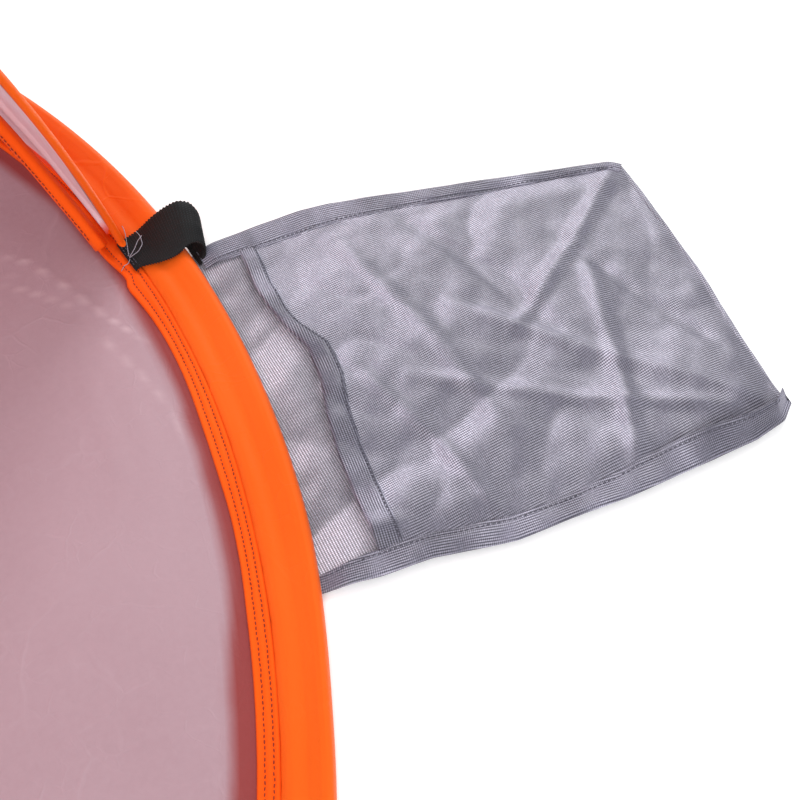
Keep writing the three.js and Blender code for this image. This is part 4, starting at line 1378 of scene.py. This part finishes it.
class Pocket:
    """look scales the folds; wander (0 or 1) lets the mouth stray from its outline"""

    def __init__(self, name, angle, direction, seed, look, wander):
        self.name, self.seed, self.look, self.wander = name, seed, look, wander
        self.station = Station(angle, direction)

    def lie(self, along, out, layer):
        """how the cloth lies on the ground: broad folds, then sharper creases by layer"""
        seed = self.seed
        height = (0.0017 * fbm(along / 0.085, out / 0.12, seed, 3)
                  + 0.0010 * fbm((along + out) / 0.045, (along - out) / 0.11, seed + 3, 3)
                  + layer * 0.0011 * fbm(along / 0.030, out / 0.055, seed + 5, 3))
        broad = np.abs(noise(along / 0.058 + 0.35 * out / 0.05, out / 0.105, seed + 61))
        fine = np.abs(noise((along - out) / 0.034, (along + out) / 0.062, seed + 67))
        height = height + layer * self.look * (0.0062 * broad + 0.0032 * fine - 0.0016)
        for k, (start, end, width, depth) in enumerate(POCKET_CREASES):
            start, end = np.array(start), np.array(end)
            shift = 0.006 * np.array([hash_cell(np.array(k), np.array(seed), salt)
                                      for salt in (1, 2)])
            line = [start + shift, (start + end) / 2 + shift * 1.5, end - shift]
            height = height + layer * depth * self.look * crease(along, out, line, width, 1.0)
        return height

    def shared_lie(self, along, out):
        """the faint lie that all the layers follow"""
        return np.maximum(self.lie(along, out, 0.4), DIP)

    def outline_grid(self):
        count_along, count_out = POCKET_STEPS
        near, far = resample(NEAR_SIDE, count_out, 7), resample(FAR_SIDE, count_out, 7)
        outer = resample(OUTER_SIDE, count_along, 5)
        along = np.linspace(near[0, 0], far[0, 0], count_along)
        inner = np.stack([along, self.station.edge(along) - 0.0005], -1)
        near[0], far[0] = inner[0], inner[-1]
        outer[0], outer[-1] = near[-1], far[-1]
        return np.moveaxis(coons(inner, near, outer, far), -1, 0)

    def back_cloth(self, along, out):
        """lower layer, sewn to the hoop's outer edge"""
        gap = out - self.station.edge(along)
        height = (CLOTH_Z + self.shared_lie(along, out)) * smooth(-0.002, 0.02, gap) + 0.0007
        height = np.where(gap < 0.0, 0.0009, height)
        lit = light_lean(along, out, self.lie(along, out, 1.0), 4.0) + 0.12
        cloth = net_sheet(self.name + "_back_cloth", self.station.place(along, out, height),
                          M_NET, grid_uv(along, out), np.clip(lit, 0, 1))
        face_outwards(cloth)
        set_blend(cloth, "base", self.name, self.station.pocket_share(coords(cloth)))
        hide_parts(self.name + "_back_layer")

    def front_cloth(self, along_grid, out_grid):
        """upper layer, from the mouth to the outer edge; returns its grids"""
        seed, look = self.seed, self.look
        rows, columns = along_grid.shape
        part = np.linspace(SIDE_INSET, 1 - SIDE_INSET, rows)[:, None]
        reach = np.linspace(0, 1, columns)[None]
        row_keys, keys = np.linspace(0, 1, rows), reach[0]
        line_along = columns_at(part[:, 0], row_keys, along_grid)
        line_out = columns_at(part[:, 0], row_keys, out_grid)
        beside_mouth = line_along[:, 12]
        mouth = (table_at(beside_mouth, MOUTH)
                 + 0.0050 * noise(beside_mouth / 0.045, 0.0, seed + 9) * self.wander * look)
        along, out = np.empty((rows, columns)), np.empty((rows, columns))
        for i in range(rows):
            start = np.interp(mouth[i], line_out[i], keys)
            where = start + (1 - start) * keys
            along[i] = np.interp(where, keys, line_along[i])
            out[i] = np.interp(where, keys, line_out[i])

        # sewn down at the sides and the outer edge, free in the middle
        side_gap = np.minimum(part - SIDE_INSET, 1 - SIDE_INSET - part)
        sewn = np.minimum(side_gap / 0.10, (1 - reach) / 0.06)
        lift = smooth(0, 1, sewn)
        fold = np.maximum(self.lie(along, out, 1.0), -0.0016)
        bag = 0.0030 * np.sin(np.pi * part) ** 0.8 * smooth(1.0, 0.55, reach) * look
        ripple = (0.0016 * np.sin(along / 0.013 + 2.2 * noise(along / 0.04, out / 0.05, seed + 13))
                  * np.exp(-reach / 0.10) * look)
        under = self.shared_lie(along, out)
        loose = 0.0014 + np.maximum(fold - under, -0.0012) + bag + np.maximum(ripple, -0.0014)
        height = CLOTH_Z + 0.0007 + under + 0.0010 + lift * loose
        cloth = net_sheet(self.name + "_front_cloth", self.station.place(along, out, height),
                          M_NET_DOUBLE, grid_uv(along, out),
                          light_lean(along, out, height, 2.9))
        face_outwards(cloth)
        share = np.sin(np.pi * part) ** 0.85 * smooth(1.0, 0.25, reach)
        set_blend(cloth, self.name, self.name + "_mouth", twice(share))
        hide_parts(self.name + "_front_layer")
        return part[:, 0], along, out, height

    def mouth_strip(self, part_grid, along_grid, out_grid, cloth_height):
        """doubled strip along the mouth, a little twisted, stitched on its outer side"""
        seed = self.seed
        rows, columns = along_grid.shape
        where = np.linspace(0.040 * (rows - 1), 0.960 * (rows - 1), 260)
        i = np.clip(np.floor(where).astype(int), 0, rows - 2)
        rest = where - i

        def between(values):
            return values[i] * (1 - rest) + values[i + 1] * rest

        part = between(part_grid)
        along, out = between(along_grid[:, 0]), between(out_grid[:, 0])
        shift = self.wander * 0.03 * noise(np.array(seed * 0.37), 0.0, 7)
        width = np.pad(table_at(along + shift, STRIP_W), 8, mode="edge")
        width = (np.convolve(width, np.ones(17) / 17, mode="valid")
                 * (1 + 0.06 * noise(along / 0.05, 0.0, seed + 21)))
        share, rise = STRIP_PROFILE.T
        ends = 0.30 + 0.70 * smooth(0.0, 0.045, np.minimum(part - part[0], part[-1] - part))
        bulge = ends[:, None] * (1 + 0.4 * fbm(along[:, None] / 0.024, share * 2, seed + 23, 2))

        # height of the cloth underneath
        offset = width[:, None] * share
        column = np.clip(offset / 0.24, 0, 1) * (columns - 1)
        j = np.clip(np.floor(column).astype(int), 0, columns - 2)
        beyond = column - j

        def row_height(row):
            return (cloth_height[row[:, None], j] * (1 - beyond)
                    + cloth_height[row[:, None], j + 1] * beyond)

        below = row_height(i) * (1 - rest[:, None]) + row_height(i + 1) * rest[:, None]
        twist = 0.0030 * np.sin(along / 0.028 + seed) * np.sin(np.pi * part) * self.look
        height = below + rise * bulge + np.maximum(twist, -0.0006)[:, None] * (0.6 - share)
        strip_out = out[:, None] + offset
        rings = self.station.place(along[:, None], strip_out, height)
        lit = np.clip(table_at(along + shift, STRIP_LIT)
                      + 2.0 * np.gradient(height.mean(1), np.gradient(along).mean())
                      + 0.30 * noise(along / 0.016, 0.0, seed + 25)
                      + 0.25 * noise(along / 0.05, 0.0, seed + 27), 0, 1)
        strip, _ = capped_strip(self.name + "_mouth_strip", rings, M_NET_HEM,
                                grid_uv(along[:, None], strip_out), "lit", lit, 0.5)
        open_share = np.sin(np.pi * part) ** 0.85
        set_blend(strip, self.name, self.name + "_mouth",
                  np.append(np.repeat(open_share, len(share)), open_share[[0, -1]]))
        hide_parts(self.name + "_mouth_hem")

        line = self.station.place(along, out + width * 0.90, height[:, 7] + 0.0002)
        verts, faces = stitches(line, UP, seed + 31, pitch=0.0026, radius=0.00042)
        row = make(self.name + "_mouth_stitching", verts, faces, M_THREAD_GREY)
        set_blend(row, self.name, self.name + "_mouth",
                  np.interp(self.station.along_of(verts), along, open_share))

    def border_hem(self, tag, side, width_table, inward_sign, seed_step):
        """turned strip along one side; returns its object and its rings"""
        seed = self.seed + seed_step
        line = resample(side, 320, 9)
        tangent = unit(np.gradient(line, axis=0))
        inwards = np.stack([-tangent[:, 1], tangent[:, 0]], -1) * inward_sign
        run = lengths(line)
        column = run[:, None]
        share, rise = HEM_PROFILE.T
        width = table_at(line[:, 1], width_table) * (1 + 0.10 * noise(run / 0.05, 0.0, seed + 41))
        across = width[:, None] * share
        along = line[:, :1] + inwards[:, :1] * across
        out = line[:, 1:] + inwards[:, 1:] * across
        thick = 1 + 0.55 * fbm(column / 0.034, share * 1.7, seed + 43, 2)
        over = 0.0004 if tag == "outer" else 0.0012
        height = CLOTH_Z + over + 0.0006 + self.shared_lie(along, out) + rise * thick
        lit = np.clip(0.42 + 0.6 * fbm(run / 0.024, 0.0, seed + 91, 3), 0, 1)
        if tag == "outer":
            height = height - rise * 0.45
            lit = lit * 0.5 + 0.38
        else:
            # close to the ground beside the hoop, then up over the layers
            clear = smooth(-0.004, 0.016, out - self.station.edge(along))
            height = 0.0014 + rise * 0.5 * (1 - clear) + (height - 0.0014) * clear
            sway = np.maximum(fbm(column / 0.040, share * 1.2, seed + 71, 2), -0.3)
            height = height + 0.0014 * sway * clear
        if tag == "front":
            # the outer end of this hem stands half open
            angle = smooth(0.62, 1.0, column / run[-1]) * 1.15 * self.look
            reach = np.maximum((share - 0.1) * width[:, None], 0)
            pull = (1 - np.cos(angle)) * reach
            along = along - inwards[:, :1] * pull
            out = out - inwards[:, 1:] * pull
            height = height + np.sin(angle) * reach * 0.9
        rings = self.station.place(along, out, height)
        hem, verts = capped_strip(self.name + "_hem_" + tag, rings,
                                  M_NET_DOUBLE if tag == "outer" else M_NET_HEM,
                                  grid_uv(column, across), "lit", lit, 0.5)
        if tag == "outer":
            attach(hem, self.name)
        else:
            set_blend(hem, "base", self.name, self.station.pocket_share(verts))
        return hem, rings

    def border_hems(self):
        hems, parts = [], []
        for tag, side, width_table, inward_sign, seed_step in HEMS:
            hem, rings = self.border_hem(tag, side, width_table, inward_sign, seed_step)
            hems.append(hem)
            if tag != "outer":
                parts.append(stitches(rings[4:-4, 6] + [0, 0, 0.0003], UP,
                                      self.seed + 51 + seed_step, pitch=0.0030))
        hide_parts(self.name + "_border_hem")
        verts, faces = merge(parts)
        rows = make(self.name + "_hem_stitching", verts, faces, M_THREAD_GREY)
        set_blend(rows, "base", self.name, self.station.pocket_share(verts))

    def build(self):
        along, out = self.outline_grid()
        self.back_cloth(along, out)
        self.mouth_strip(*self.front_cloth(along, out))
        self.border_hems()


FRONT_POCKET = math.asin(-0.149 / HALF_Y)
Pocket("pocket_front_right", FRONT_POCKET, -1, seed=301, look=1.0, wander=0).build()
Pocket("pocket_front_left", math.pi - FRONT_POCKET, 1, seed=331, look=0.85, wander=1).build()
Pocket("pocket_rear_right", math.radians(52), 1, seed=361, look=0.9, wander=1).build()
Pocket("pocket_rear_left", math.radians(128), -1, seed=391, look=0.8, wander=1).build()

# ------------------------------------------------------------------ stage, light, camera
stage_shader = Shader("stage_floor")
stage_shader.surface({"Base Color": (0.94, 0.94, 0.945), "Roughness": 0.9,
                      "Emission Color": (1, 1, 1), "Emission Strength": 0.16})
STAGE_HALF, STAGE_Z = 30, -0.0006
stage_corners = [(x * STAGE_HALF, y * STAGE_HALF, STAGE_Z)
                 for x, y in ((-1, -1), (1, -1), (1, 1), (-1, 1))]
make("stage_ground", stage_corners, np.array([[0, 1, 2, 3]]), stage_shader.mat)

world = bpy.data.worlds.new("studio")
world.use_nodes = True
background = world.node_tree.nodes["Background"]
background.inputs[0].default_value = (1, 1, 1, 1)
background.inputs[1].default_value = 0.95
scene.world = world


def area_light(name, place, target, size, power):
    light = bpy.data.lights.new(name, "AREA")
    light.size = size
    light.energy = power
    lamp = add_object(name, light)
    lamp.location = place
    aim = Vector(target) - Vector(place)
    lamp.rotation_euler = aim.to_track_quat("-Z", "Y").to_euler()
    lamp.visible_camera = False


def roof_glow(x):
    """daylight that the thin orange roof lets through"""
    light = bpy.data.lights.new("through_roof", "POINT")
    light.energy = 1.1
    light.shadow_soft_size = 0.16
    light.color = (1.0, 0.60, 0.50)
    lamp = add_object("through_roof", light)
    lamp.location = (x, 0.16, 0.36)
    lamp.visible_camera = False


area_light("key", place=(-0.9, -2.3, 2.3), target=(0.9, -0.1, 0), size=1.5, power=42)
area_light("fill", place=(2.9, 1.5, 2.2), target=(0.9, -0.1, 0), size=1.4, power=40)
roof_glow(0.52)
roof_glow(-0.52)


def add_camera(place, heading, down, roll):
    """heading is measured from +y towards +x, down below the horizon"""
    lens = bpy.data.cameras.new("camera")
    lens.lens = 50
    lens.sensor_width = 36
    lens.clip_start = 0.02
    camera = add_object("camera", lens)
    camera.location = place
    aim = Vector((math.sin(heading) * math.cos(down), math.cos(heading) * math.cos(down),
                  -math.sin(down)))
    turn = aim.to_track_quat("-Z", "Y") @ Quaternion((0, 0, 1), roll)
    camera.rotation_euler = turn.to_euler()
    scene.camera = camera


add_camera(place=(0.834, -0.467, 0.543), heading=math.radians(34.3), down=math.radians(58.2),
           roll=math.radians(-1.8))
scene.view_settings.view_transform = "Standard"
